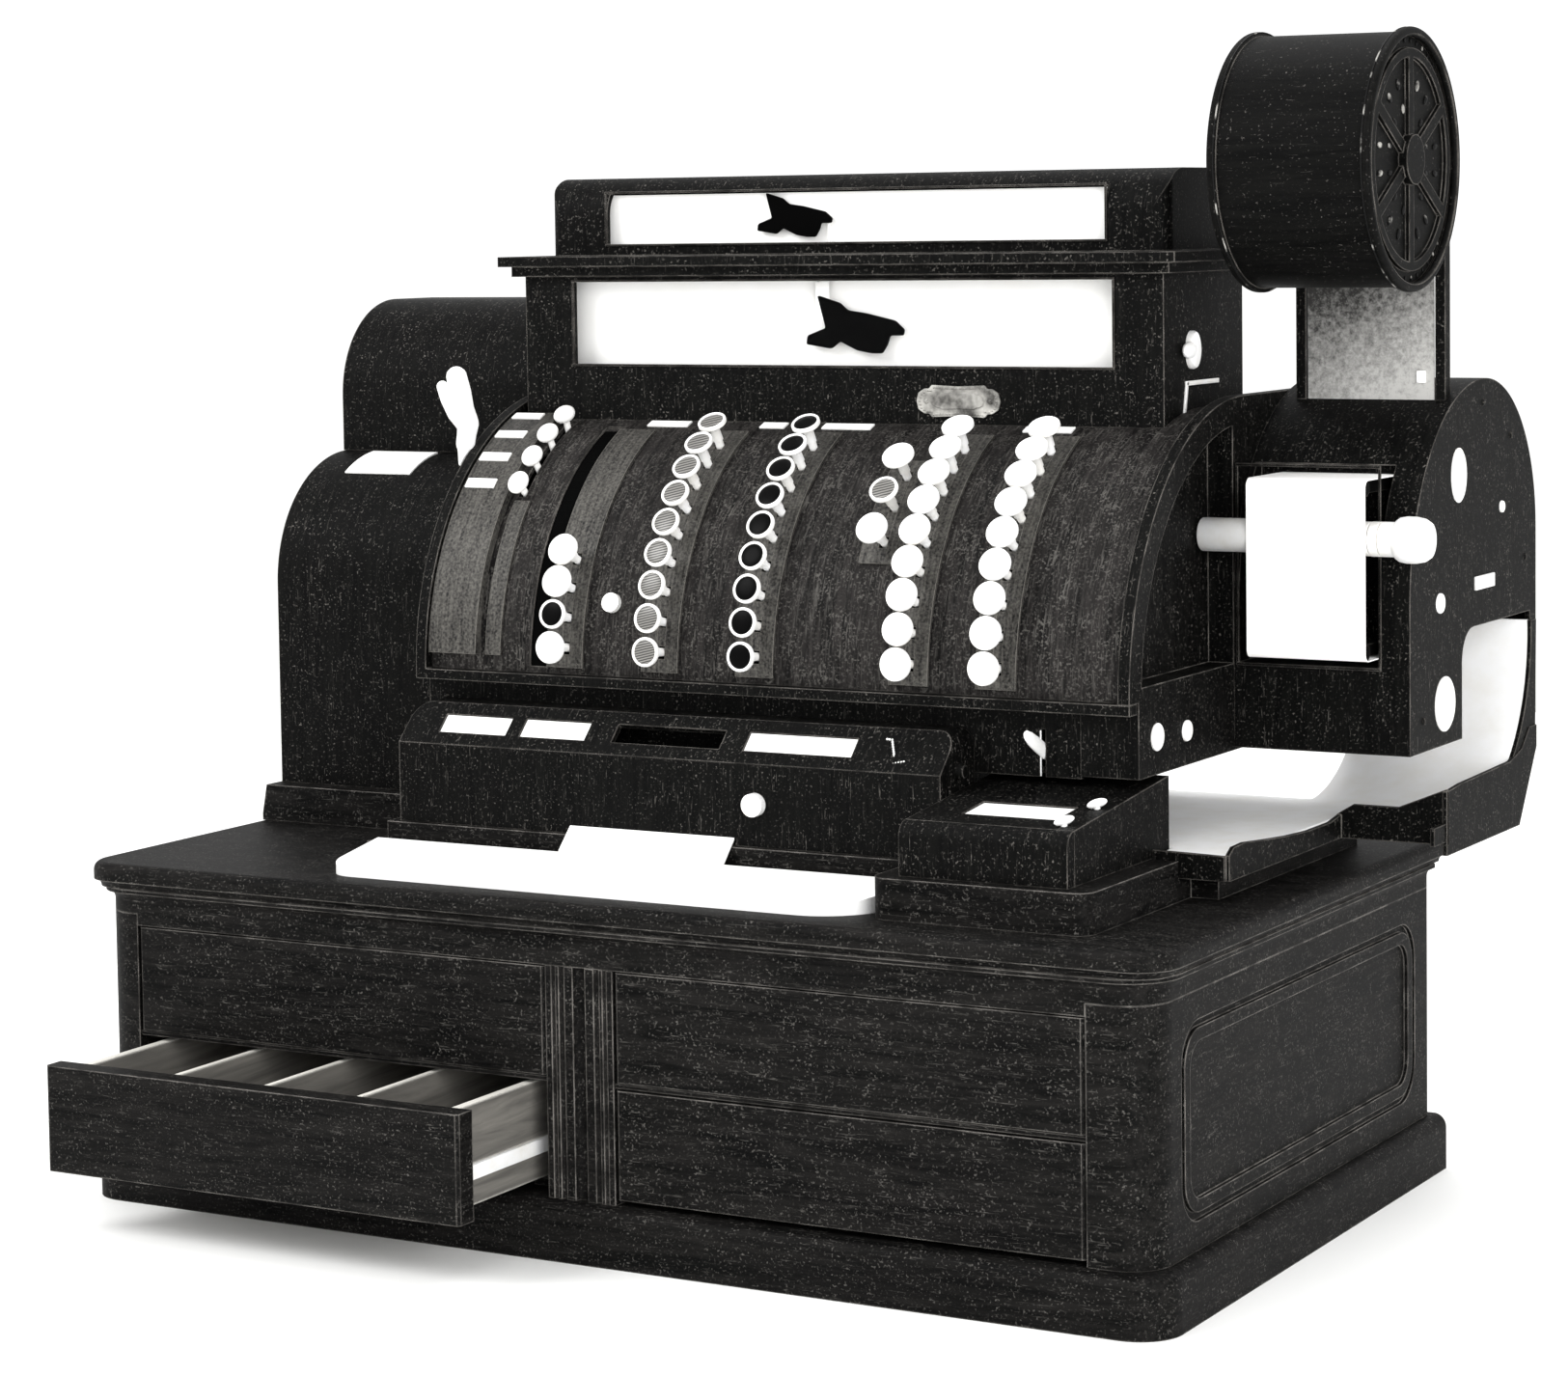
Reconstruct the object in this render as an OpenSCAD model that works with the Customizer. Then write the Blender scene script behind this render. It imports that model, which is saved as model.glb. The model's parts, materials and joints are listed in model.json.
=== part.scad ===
// Ticket register: a large key-set cash machine on a four-drawer cabinet.
// Millimetres. X to the right, Y to the back, Z up. The origin is the centre of the cabinet's underside.

/* [Cabinet] */
// Width of the cabinet over the plinth and the top board
base_w = 800; // [780:1:840]
// Depth of the cabinet over the plinth and the top board
base_d = 480; // [478:1:520]
// Height of the plinth
plinth_h = 38; // [34:1:46]
// How far the cabinet's body stands in from the plinth
body_inset = 10; // [8:1:14]
// Radius of the body's front corners
body_corner_r = 28; // [22:1:30]
// Thickness of the side panels
wall_t = 18; // [16:1:20]
// Thickness of the back panel
back_t = 12; // [10:1:16]
// Thickness of the bottom board
bottom_t = 14; // [10:1:18]
// Height of the cove moulding under the top board
cove_h = 17; // [14:1:22]
// Thickness of the top board
board_t = 17; // [14:1:22]

/* [Drawers] */
// Width of the frame left of the left drawers
stile_w = 34; // [31:1:44]
// Height of each drawer front
drawer_h = 70; // [66:1:80]
// Gap between the lower and the upper drawer fronts
drawer_gap = 5; // [4:0.5:7]
// Clearance around a drawer front
front_clear = 1; // [0.8:0.1:1.5]
// Thickness of the drawer fronts
front_t = 16; // [12:1:20]
// Depth of the drawer trays
tray_d = 380; // [340:1:390]
// How far a tray's side stands in from the end of its front
tray_inset = 14; // [12:1:16]
// Thickness of a tray's sides and back
tray_wall = 6; // [5:0.5:8]
// Thickness of a tray's floor
tray_floor = 4; // [3:0.5:6]
// Thickness of the dividers
divider_t = 4; // [3:0.5:6]
// Compartments in each tray
compartments = 4; // [2:1:5]
// How far the tray's rim lies below the top of its front
rim_drop = 2; // [1.5:0.5:5]
// Height of the metal slide strips on the trays
strip_h = 9; // [6:0.5:12]
// How far the slide strips stand out of the trays
strip_t = 2.5; // [1.5:0.5:3.5]
// How far the lower left drawer stands open
drawer_open = 100; // [60:1:150]
// Width of the fluted pilaster between the drawers
pilaster_w = 50; // [46:1:56]
// Middle of the pilaster
pilaster_x = -5; // [-6:0.5:-4]

/* [Deck] */
// Height of the moulded platform on the top board
platform_h = 26; // [22:1:30]
// Height of the lower step of the platform's front
step_h = 13; // [9:1:16]
// Depth of that step
step_d = 10; // [6:1:12]
// Thickness of the slip table at its front
slip_table_t = 6; // [5:0.5:8]
// How much the slip table rises from front to back
slip_table_rise = 10; // [8:0.5:11]
// Front of the slip table
slip_table_front = -212; // [-218:0.5:-206]

/* [Slip printer] */
// Half the width of the slip printer's case
slip_half_w = 205; // [195:1:206]
// Front of the slip printer's case
slip_front = -136; // [-140:0.5:-132]
// Height of the slip printer's case
slip_h = 79; // [70:1:84]
// Size of the bevel that carries the windows
slip_bevel = 25; // [20:1:28]
// Wall of the slip printer's case
slip_wall = 4; // [3:0.5:5]
// Length of the windows along the bevel
window_d = 15; // [12:0.5:17]

/* [Keyboard] */
// Height of the keyboard's axis
kb_z = 356; // [354:1:358]
// Depth of the keyboard's axis
kb_y = 79; // [77:1:81]
// Outer radius of the curved cover
cover_r = 175; // [173:0.5:177]
// Thickness of the curved cover
cover_t = 3; // [2:0.5:4]
// How far the end ribs stand out of the cover
rib_out = 8; // [6:0.5:11]
// Left end of the keyboard, inside its rib
kb_x0 = -204; // [-206:1:-202]
// Right end of the keyboard, inside its rib
kb_x1 = 312; // [310:1:314]
// Thickness of the end ribs
rib_t = 8; // [6:0.5:9]
// Angle of the lowest key above the horizontal
key_angle = 5.9; // [5:0.1:7]
// Angle from one key to the next
key_pitch = 6.5; // [6.4:0.1:6.8]
// Keys in a full bank
bank_keys = 9; // [6:1:9]
// Radius of a key's head
key_r = 10.75; // [10:0.05:10.9]
// Thickness of a key's head
key_t = 4; // [3:0.5:5]
// Height of the keys' faces above the cover
key_rise = 23; // [19:0.5:27]
// Height of the control buttons' faces above the cover
button_rise = 12.5; // [12:0.5:16]
// Radius of a key's stem
stem_r = 2.5; // [2:0.1:3]
// Clearance between a stem and its slot
stem_clear = 0.5; // [0.3:0.1:0.8]
// Thickness of the key guide strips
guide_t = 2; // [1.5:0.1:3]
// Thickness of the index plate at the left end
index_t = 6; // [4:0.5:7]

/* [Left case] */
// Left side of the left case
left_x = -391; // [-394:1:-386]
// Front of its lower tier
left_front = -19; // [-24:1:-14]
// Radius of its lower tier
left_r1 = 92; // [86:1:98]
// Front of its upper tier
left_front2 = 66; // [60:1:72]
// Radius of its upper tier
left_r2 = 70; // [64:1:76]
// Top of its lower tier
left_z1 = 492; // [486:1:500]
// Top of its upper tier
left_z2 = 602; // [594:1:608]
// Sheet thickness of the cases
case_t = 4; // [3:0.5:5]

/* [Indicator] */
// Left side of the indicator case
ind_x0 = -198; // [-199:0.5:-196]
// Right side of the indicator case
ind_x1 = 290; // [288:0.5:292]
// Front of the indicator case
ind_front = 20; // [18:0.5:22]
// Back of the indicator case
ind_back = 150; // [140:1:160]
// Top of the indicator case
ind_top = 620; // [612:1:628]
// Height of the indicator's window
ind_window_h = 57; // [50:1:60]
// Left end of the indicator's window
ind_window_x0 = -158; // [-162:1:-150]
// Right end of the indicator's window
ind_window_x1 = 254; // [248:1:258]
// Height of the cornice
cornice_h = 14; // [11:1:18]
// How far the cornice stands out
cornice_out = 14; // [10:1:15]
// Height of the crest hood above the cornice
hood_h = 54; // [50:1:60]
// Radius of the crest hood's top edges
hood_r = 26; // [20:1:28]
// How far a number tablet can drop
tablet_drop = 20; // [10:1:24]

/* [Right housing] */
// Right side of the printer housing
house_x1 = 441; // [438:1:446]
// Front of the printer housing
house_front = 61; // [58:1:64]
// Back of the printer housing
house_back = 308; // [304:1:312]
// Underside of the printer housing
house_z0 = 310; // [309:1:312]
// Top of the printer housing
house_top = 546; // [540:1:552]
// Radius of the housing's front shoulder
house_r1 = 141; // [135:1:145]
// Radius of the housing's back shoulder
house_r2 = 106; // [100:1:110]
// Radius of the platen roller
platen_r = 11; // [9:0.5:12]
// Radius of the platen's journals
journal_r = 5; // [4:0.5:6]
// Radius of the platen's hand knob
knob_r = 15; // [12:0.5:18]
// Width of the paper web over the platen
web_w = 81; // [70:1:82]

/* [Paper drum] */
// Height of the drum's axis
drum_z = 690; // [686:1:696]
// Depth of the drum's axis
drum_y = 74; // [72:1:77]
// Left end of the drum
drum_x0 = 332; // [328:1:334]
// Right end of the drum
drum_x1 = 441; // [440:1:446]
// Radius of the drum's body
drum_r = 81; // [79:0.5:82]
// Radius of the drum's rims
drum_rim_r = 84; // [82:0.5:86]
// Radius of the roll of paper
roll_r = 66; // [40:1:70]
// Radius of the spindle that carries the roll
spindle_r = 10; // [8:0.5:12]

/* [Fits] */
// Radial running clearance of shafts and pins
fit = 0.06; // [0.04:0.01:0.1]
// Gap between neighbouring pieces that move past each other
gap = 0.3; // [0.3:0.05:0.5]

/* [Hidden] */
$fn = 96;

eps = 0.01;

// Cabinet, from the floor up
half_w = base_w/2;
half_d = base_d/2;
body_x = half_w - body_inset;
body_y = half_d - body_inset;
inner_x = body_x - wall_t;
inner_back = body_y - back_t;
lower_z = plinth_h + 4*front_clear;
upper_z = lower_z + drawer_h + drawer_gap;
rail_z = upper_z + drawer_h + front_clear;
body_top = rail_z + 8;
cove_top = body_top + cove_h;
base_h = cove_top + board_t;
moulding_t = 20;
rail_t = 18;

// Drawers: the left pair ends at the pilaster, and so does the right pair
pilaster_x0 = pilaster_x - pilaster_w/2;
pilaster_x1 = pilaster_x + pilaster_w/2;
pilaster_t = 24;
drawer_w = body_x + pilaster_x0 - front_clear - stile_w;
left_drawer_x = pilaster_x0 - front_clear - drawer_w;
right_drawer_x = pilaster_x1 + front_clear;
left_stile_x = left_drawer_x - front_clear;
right_stile_x = right_drawer_x + drawer_w + front_clear;
tray_w = drawer_w - 2*tray_inset;
tray_lift = 4;
tray_h = drawer_h - rim_drop - tray_lift;
strip_z = 17;
partition_t = 14;
bearer_w = 12;
bearer_rise = 15;
dust_t = 6;

// Deck
deck_z = base_h + platform_h;
centre_front = slip_front - 14;
block_x0 = 190;
block_x1 = 338;
block_front = -205;
platform_x0 = 3 - half_w;
platform_x1 = half_w - 43;
platform_jog = -53;
machine_back = 185;
slip_x0 = -slip_half_w;
slip_x1 = slip_half_w;
slip_top = deck_z + slip_h;
tongue_x0 = -69;
tongue_x1 = 56;

// The right side frame
side_x0 = 296;
side_x1 = kb_x1 + rib_t;

// Slip printer: the ends of its four windows, and its lock
SLIP_WINDOWS = [[-177, -124], [-113, -62], [-41, 41], [59, 138]];
slip_lock_x = 72;
slip_lock_z = deck_z + 28;

// Receipt box: its top slopes up to the back
receipt_x0 = slip_x1 + 1;
receipt_x1 = 320;
receipt_y0 = -195;
receipt_y1 = -45;
receipt_win = [234, 298, -164, -133];
function receipt_z(y) = deck_z + 34 + (y - receipt_y0 - 10)*15/140;

// Machine frame
chassis_x0 = kb_x0 - rib_t;
chassis_front = -88;
chassis_y1 = machine_back - 5;
chassis_top = kb_z - 7;
FRAME_X = [-128, -46, 14, 96, 190, side_x0 - 4];
post_x = 280;
post_front = -90;
slit_x = 253;
slit_z0 = 306;
slit_z1 = 336;
issue_y = -60;
issue_z = 320;
issue_pin_r = 3;
rib_r = cover_r + rib_out;
rib_inner_r = cover_r - 10;
tunnel_x = 198;
tunnel_top = house_z0 + 2;
frame_t = 4;
frame_r = cover_r - cover_t - gap;
shelf_z = 520;
recess_x = 302;
cover_end = acos((kb_y - ind_front + gap)/(cover_r - cover_t));

// Keys: the middle of each bank, and the half bank beside the units
bank_b = -95;
bank_c = -21;
bank_d = 51;
bank_e = 164;
bank_f = 226;
bank_half = 133;
control_x = -156.5;
control_angle = 42.5;
control_pitch = 7.7;
key_face_r = cover_r + key_rise;
button_face_r = cover_r + button_rise;
button_r = 7.8;
button_t = 8;
half_angle = key_angle + 4*key_pitch;
half_pitch = key_pitch + 2;
guide_x0 = -15;
guide_x1 = 13;
half_guide_x1 = 15;
inner_key_r = cover_r - 25;
guide_a0 = 1.5;
guide_a1 = 64;
index_x0 = -203;
index_x1 = -165;
index_a0 = 3.5;
lock_x = -62;
lock_a = 16;

// Left case
left_x1 = kb_x0 - rib_t - 10;
left_top_x1 = ind_x0 - 0.5;
lever_x = (left_x1 + kb_x0 - rib_t)/2;
lever_t = 4;
lever_pin_r = 8;
lever_angle = 53;
lever_reach = rib_r + 4;

// Indicator
board_y = ind_front + 16;
tablet_y = ind_front + 9;
tablet_t = 3;
tablet_link_x = 31;
// Outline of a tablet, from the wrist round to the fingertip
HAND = [[9, 39], [26, 34], [32, 29], [46, 27], [68, 22], [75, 16], [74, 12], [64, 12], [62, 6], [58, 0],
    [50, 0], [39, 2], [26, 8], [19, 3], [0, 6], [1, 12], [15, 17]];

hood_x0 = -190;
hood_x1 = 284;
hood_front = 40;
hood_back = 130;
hood_tablet_y = hood_front + case_t + 0.6;
hood_z0 = ind_top + cornice_h;
hood_corner_r = 2.5*case_t;
ind_window_z = ind_top - 4 - ind_window_h;
hood_window_x0 = -142;
hood_window_x1 = 240;
hood_window_z = hood_z0 + 8;
hood_window_h = 35;
turn_y = 63;
turn_z = 569;

// Printer housing
house_y1 = house_front + house_r1;
house_y2 = house_back - house_r2;
web_x0 = 339;
web_x1 = web_x0 + web_w;
web_z0 = 372;
web_z1 = 488;
web_t = 0.6;
bay_x0 = side_x1 + case_t;
bay_x1 = 420;
bay_z0 = web_z0 - 6;
bay_z1 = web_z1 + 6;
bay_back = 100;
platen_y = 49;
platen_z = 450;
ear_t = 5;
web_front = platen_y - platen_r - gap - web_t;
guide_r = 5;
chute_r = 110;
chute_y = 180;
chute_t = 3;
chute_z = deck_z + chute_t;
chute_x0 = 204;
chute_x1 = 368;
chute_front = -68;
chute_top = 376;
notch_y = 158;
notch_top = 382;

// Drum
drum_rim_w = 6;
post_w = 7;
post_y0 = drum_y + drum_r - 11;
post_d = 9;
post_x0 = drum_x0 - 1;
post_x1 = drum_x1 - drum_rim_w - post_w;
supply_x0 = post_x0 + post_w + 1;
supply_x1 = post_x1 - 1;
supply_y = post_y0 + 1;

// ---------- helpers ----------

// A block between two corners
module block(x0, x1, y0, y1, z0, z1) {
    translate([x0, y0, z0]) cube([x1 - x0, y1 - y0, z1 - z0]);
}

// A shape drawn in Y and Z, run from x0 to x1
module along_x(x0, x1) {
    translate([x0, 0, 0]) rotate([90, 0, 90]) linear_extrude(x1 - x0) children();
}

// A shape drawn in X and Z, run from y0 to y1
module along_y(y0, y1) {
    translate([0, y1, 0]) rotate([90, 0, 0]) linear_extrude(y1 - y0) children();
}

// A shaft along X
module rod_x(x0, x1, y, z, r) {
    translate([x0, y, z]) rotate([0, 90, 0]) cylinder(h = x1 - x0, r = r);
}

// A shaft along Y
module rod_y(y0, y1, x, z, r) {
    translate([x, y0, z]) rotate([-90, 0, 0]) cylinder(h = y1 - y0, r = r);
}

// What a round of radius r takes off a square corner
module corner_waste(r) {
    difference() {
        square(r + 1);
        circle(r);
    }
}

// A plan with two round corners at the front
module front_round_plan(x0, x1, y0, y1, r) {
    difference() {
        translate([x0, y0]) square([x1 - x0, y1 - y0]);
        translate([x0 + r, y0 + r]) rotate(180) corner_waste(r);
        translate([x1 - r, y0 + r]) rotate(270) corner_waste(r);
    }
}

// A moulding round the front and both sides; its profile has X outwards from the edge and Y up
module moulding(x0, x1, y0, y1, r) {
    translate([x0 + r, y0, 0]) rotate([90, 0, 90]) linear_extrude(x1 - x0 - 2*r) mirror([1, 0]) children();
    translate([x1, y1, 0]) rotate([90, 0, 0]) linear_extrude(y1 - y0 - r) children();
    translate([x0, y1, 0]) rotate([90, 0, 0]) linear_extrude(y1 - y0 - r) mirror([1, 0]) children();
    translate([x1 - r, y0 + r, 0]) rotate([0, 0, -90])
        rotate_extrude(angle = 90) translate([r, 0]) children();
    translate([x0 + r, y0 + r, 0]) rotate([0, 0, 180])
        rotate_extrude(angle = 90) translate([r, 0]) children();
}

// A band round the keyboard's axis, from angle a0 to a1 above the horizontal
module key_band(r0, r1, x0, x1, a0, a1) {
    translate([0, kb_y, kb_z]) rotate([0, 90, 0]) rotate([0, 0, 270 - a1])
        rotate_extrude(angle = a1 - a0) translate([r0, x0]) square([r1 - r0, x1 - x0]);
}

// A place on the keyboard: Z points straight out of the cover at that angle
module at_key(x, a) {
    translate([x, kb_y, kb_z]) rotate([90 - a, 0, 0]) children();
}

// ---------- cabinet ----------

module plinth_profile() {
    ovolo = 9;
    difference() {
        translate([-moulding_t, 0]) square([moulding_t, plinth_h]);
        translate([-ovolo, plinth_h - ovolo]) corner_waste(ovolo);
    }
}

module plinth() color([0.17, 0.09, 0.06]) {
    moulding(-half_w, half_w, -half_d, half_d, body_corner_r) plinth_profile();
    inner = moulding_t - 1;
    block(-half_w + inner, half_w - inner, half_d - moulding_t, half_d, 0, plinth_h);
    block(-half_w + inner, half_w - inner, -half_d + inner, half_d - inner, plinth_h - bottom_t, plinth_h);
}

// A side panel with its front stile, seen from above; s is 1 for the right side
module side_plan(stile) {
    stile_d = 24;
    difference() {
        union() {
            translate([inner_x, -body_y]) square([wall_t, 2*body_y]);
            translate([stile, -body_y]) square([body_x - stile, stile_d]);
        }
        translate([body_x - body_corner_r, -body_y + body_corner_r]) rotate(270) corner_waste(body_corner_r);
    }
}

// The sunk field and the raised bead round it on a side panel
module panel_field(inset, r) {
    y0 = -body_y + body_corner_r + 14 + inset;
    y1 = body_y - 24 - inset;
    z0 = plinth_h + 18 + inset;
    z1 = body_top - 18 - inset;
    difference() {
        translate([y0, z0]) square([y1 - y0, z1 - z0]);
        translate([y0 + r, z0 + r]) rotate(180) corner_waste(r);
        translate([y1 - r, z0 + r]) rotate(270) corner_waste(r);
        translate([y1 - r, z1 - r]) corner_waste(r);
        translate([y0 + r, z1 - r]) rotate(90) corner_waste(r);
    }
}

module side_panel(stile) {
    bead_w = 5;
    sink = 3;
    difference() {
        translate([0, 0, plinth_h]) linear_extrude(body_top - plinth_h) side_plan(stile);
        along_x(body_x - sink, body_x + 1) difference() {
            panel_field(0, 26);
            panel_field(bead_w, 22);
        }
        along_x(body_x - sink, body_x + 1) panel_field(2*bead_w + 3, 16);
    }
}

module side_panel_right() color([0.17, 0.09, 0.06]) side_panel(right_stile_x);
module side_panel_left() color([0.17, 0.09, 0.06]) mirror([1, 0, 0]) side_panel(-left_stile_x);

module back_panel() color([0.15, 0.08, 0.055])
    block(-inner_x, inner_x, inner_back, body_y, plinth_h, cove_top);

// The pair of bars that a tray slides on, standing on z0, with a guide beside the tray
module bearers(x, z0, tray_z) {
    bar_y0 = -body_y + pilaster_t + 1;
    bar_y1 = inner_back - 10;
    outer = strip_t + 1;
    guide_bar_t = 6;
    for (side = [0, 1]) translate([x + tray_inset + side*tray_w, 0, 0]) mirror([side, 0, 0]) {
        block(-outer - guide_bar_t, bearer_w, bar_y0, bar_y1, z0, tray_z - gap);
        block(-outer - guide_bar_t, -outer, bar_y0, bar_y1, z0, tray_z + bearer_rise);
    }
}

// Dust boards, bearers and the partition between the drawer bays
module drawer_framing() color([0.30, 0.18, 0.10]) {
    part_x0 = pilaster_x - partition_t/2;
    part_x1 = pilaster_x + partition_t/2;
    dust_z1 = upper_z;
    dust_y0 = -body_y + front_t + 1;
    nose = 3;
    union() {
        block(part_x0, part_x1, -body_y + pilaster_t, inner_back, plinth_h, cove_top);
        for (bay = [[-inner_x, part_x0, left_stile_x, pilaster_x0],
            [part_x1, inner_x, pilaster_x1, right_stile_x]]) {
            block(bay[0], bay[1], -body_y + pilaster_t, inner_back, dust_z1 - dust_t, dust_z1);
            block(bay[2], bay[3], dust_y0, -body_y + pilaster_t + eps, dust_z1 - dust_t, dust_z1);
            block(bay[2], bay[3], -body_y + 2, dust_y0 + eps, upper_z - drawer_gap/2 - nose/2,
                upper_z - drawer_gap/2 + nose/2);
        }
        for (x = [left_drawer_x, right_drawer_x]) bearers(x, dust_z1, upper_z + tray_lift);
    }
    for (x = [left_drawer_x, right_drawer_x]) bearers(x, plinth_h, lower_z + tray_lift);
}

// The pilaster's plan: a wide middle flute between pairs of narrow ones
module pilaster_plan() {
    flutes = [[0, 4.5], [-13, 2], [13, 2], [-19, 1.5], [19, 1.5]];
    difference() {
        translate([pilaster_x0, -body_y]) square([pilaster_w, pilaster_t]);
        for (f = flutes) translate([pilaster_x + f[0], -body_y]) circle(f[1]);
    }
}

module centre_pilaster() color([0.17, 0.09, 0.06])
    translate([0, 0, plinth_h]) linear_extrude(rail_z - plinth_h) pilaster_plan();

module cove_profile() {
    flare = 6;
    fillet = 3;
    translate([-wall_t, body_top]) square([wall_t, cove_h]);
    difference() {
        translate([-1, cove_top - flare - fillet]) square([flare + 1, flare + fillet]);
        translate([flare, cove_top - flare - fillet]) circle(flare);
    }
}

module cove_moulding() color([0.17, 0.09, 0.06]) {
    moulding(-body_x, body_x, -body_y, body_y, body_corner_r) cove_profile();
    block(left_stile_x, right_stile_x, -body_y, -body_y + rail_t, rail_z, body_top + eps);
}

module board_profile() {
    nose = 6;
    difference() {
        translate([-2*nose, cove_top]) square([2*nose, board_t]);
        translate([-nose, base_h - nose]) corner_waste(nose);
        translate([0, cove_top]) circle(nose - 1);
    }
}

module top_board() color([0.19, 0.10, 0.065]) {
    moulding(-half_w, half_w, -half_d, half_d, body_corner_r) board_profile();
    translate([0, 0, cove_top]) linear_extrude(board_t)
        front_round_plan(-half_w + 11, half_w - 11, -half_d + 11, half_d, body_corner_r - 11);
}

// ---------- drawers ----------

module drawer_front(x, z, out = 0) {
    bead = 1.5;
    difference() {
        block(x, x + drawer_w, -body_y - out, -body_y + front_t - out, z, z + drawer_h);
        for (side = [0, 1])
            translate([x + side*drawer_w, -body_y - out, z - 1]) rotate(45)
                translate([-bead, -bead, 0]) cube([2*bead, 2*bead, drawer_h + 2]);
    }
}

// The tray behind a drawer front: four walls, a floor, dividers and the two slide strips
module drawer_tray(x, z, out = 0) {
    x0 = x + tray_inset;
    x1 = x0 + tray_w;
    y0 = -body_y + front_t - out;
    y1 = y0 + tray_d;
    z0 = z + tray_lift;
    room = (tray_w - 2*tray_wall - (compartments - 1)*divider_t)/compartments;
    difference() {
        union() {
            block(x0, x1, y0, y1, z0, z0 + tray_h);
            block(x0 - strip_t, x1 + strip_t, y0 + 9, y1 - 16, z0 + strip_z, z0 + strip_z + strip_h);
        }
        for (i = [0 : compartments - 1]) {
            c = x0 + tray_wall + i*(room + divider_t);
            block(c, c + room, y0 + tray_wall, y1 - tray_wall, z0 + tray_floor, z0 + tray_h + 1);
        }
    }
}

module upper_left_front() color([0.19, 0.10, 0.065]) drawer_front(left_drawer_x, upper_z);
module upper_left_tray() color([0.72, 0.55, 0.36]) drawer_tray(left_drawer_x, upper_z);
module upper_right_front() color([0.19, 0.10, 0.065]) drawer_front(right_drawer_x, upper_z);
module upper_right_tray() color([0.72, 0.55, 0.36]) drawer_tray(right_drawer_x, upper_z);
module lower_left_front() color([0.19, 0.10, 0.065]) drawer_front(left_drawer_x, lower_z, drawer_open);
module lower_left_tray() color([0.72, 0.55, 0.36]) drawer_tray(left_drawer_x, lower_z, drawer_open);
module lower_right_front() color([0.19, 0.10, 0.065]) drawer_front(right_drawer_x, lower_z);
module lower_right_tray() color([0.72, 0.55, 0.36]) drawer_tray(right_drawer_x, lower_z);

// ---------- deck ----------

module platform() color([0.17, 0.09, 0.06]) {
    left_end = chassis_x0 - 11;
    slant = 4;
    along_y(left_front - 16, machine_back)
        polygon([[platform_x0, base_h], [platform_x0, base_h + 5], [platform_x0 + slant, deck_z],
            [0, deck_z], [0, base_h]]);
    for (step = [[0, step_h], [step_d, platform_h]])
        block(left_end + step[0], block_x0 + 5, centre_front + step[0], machine_back, base_h,
            base_h + step[1]);
    translate([0, 0, base_h]) linear_extrude(platform_h)
        front_round_plan(block_x0, block_x1, block_front, machine_back, 12);
    block(block_x1 - 13, platform_x1, platform_jog, machine_back, base_h, deck_z);
}

// The bright plate that slips lie on, rising to the back, with the tongue that leads up to the printer
module slip_table() color([0.86, 0.86, 0.84]) {
    x0 = slip_x0 - 9;
    x1 = block_x0 - 3;
    left_r = 20;
    right_r = 45;
    back_z = base_h + slip_table_t + slip_table_rise;
    run = slip_front - gap - centre_front;
    climb = platform_h - slip_table_t - slip_table_rise + 4;
    intersection() {
        along_x(x0, x1)
            polygon([[slip_table_front, base_h], [slip_table_front, base_h + slip_table_t],
                [centre_front, back_z], [centre_front, base_h]]);
        translate([0, 0, base_h]) linear_extrude(platform_h) difference() {
            translate([x0, slip_table_front]) square([x1 - x0, centre_front - slip_table_front]);
            translate([x0 + left_r, slip_table_front + left_r]) rotate(180) corner_waste(left_r);
            translate([x1 - right_r, slip_table_front + right_r]) rotate(270) corner_waste(right_r);
        }
    }
    along_x(tongue_x0, tongue_x1)
        polygon([[centre_front - 1, back_z - 1], [centre_front, back_z], [centre_front + run, back_z + climb],
            [centre_front + run, back_z + climb + 1.5], [centre_front - 1, back_z + 1]]);
}

// ---------- slip printer ----------

// Section of the slip printer's case, drawn in by t
module slip_section(t, z0) {
    k = t*tan(22.5);
    polygon([[slip_front + t, z0], [slip_front + t, slip_top - slip_bevel - k],
        [slip_front + slip_bevel + k, slip_top - t], [chassis_front - t, slip_top - t],
        [chassis_front - t, z0]]);
}

// A place on the bevel: Y runs up the bevel and Z points out of it
module on_bevel() {
    translate([0, slip_front, slip_top - slip_bevel]) rotate([45, 0, 0]) children();
}

module slip_case() color([0.20, 0.11, 0.07]) {
    end_r = 12;
    s0 = slip_bevel/sqrt(2) - window_d/2;
    difference() {
        intersection() {
            along_x(slip_x0, slip_x1) slip_section(0, deck_z);
            along_y(slip_front - 1, chassis_front + 1) difference() {
                translate([slip_x0, deck_z]) square([slip_x1 - slip_x0, slip_h]);
                translate([slip_x1 - end_r, slip_top - end_r]) corner_waste(end_r);
                translate([slip_x0 + end_r, slip_top - end_r]) rotate(90) corner_waste(end_r);
            }
        }
        along_x(slip_x0 + slip_wall, slip_x1 - slip_wall) slip_section(slip_wall, deck_z - 1);
        on_bevel() for (w = SLIP_WINDOWS) block(w[0], w[1], s0, s0 + window_d, -slip_wall - 1, 1);
        rod_y(slip_front - 1, slip_front + slip_wall + 1, slip_lock_x, slip_lock_z, journal_r + fit);
    }
}

// Reading windows of the counters; the wide third opening is the printing throat and stays open
module slip_windows() color([0.92, 0.91, 0.87]) {
    s0 = slip_bevel/sqrt(2) - window_d/2;
    on_bevel() for (i = [0, 1, 3]) block(SLIP_WINDOWS[i][0], SLIP_WINDOWS[i][1], s0, s0 + window_d, -3, -1);
}

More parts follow.
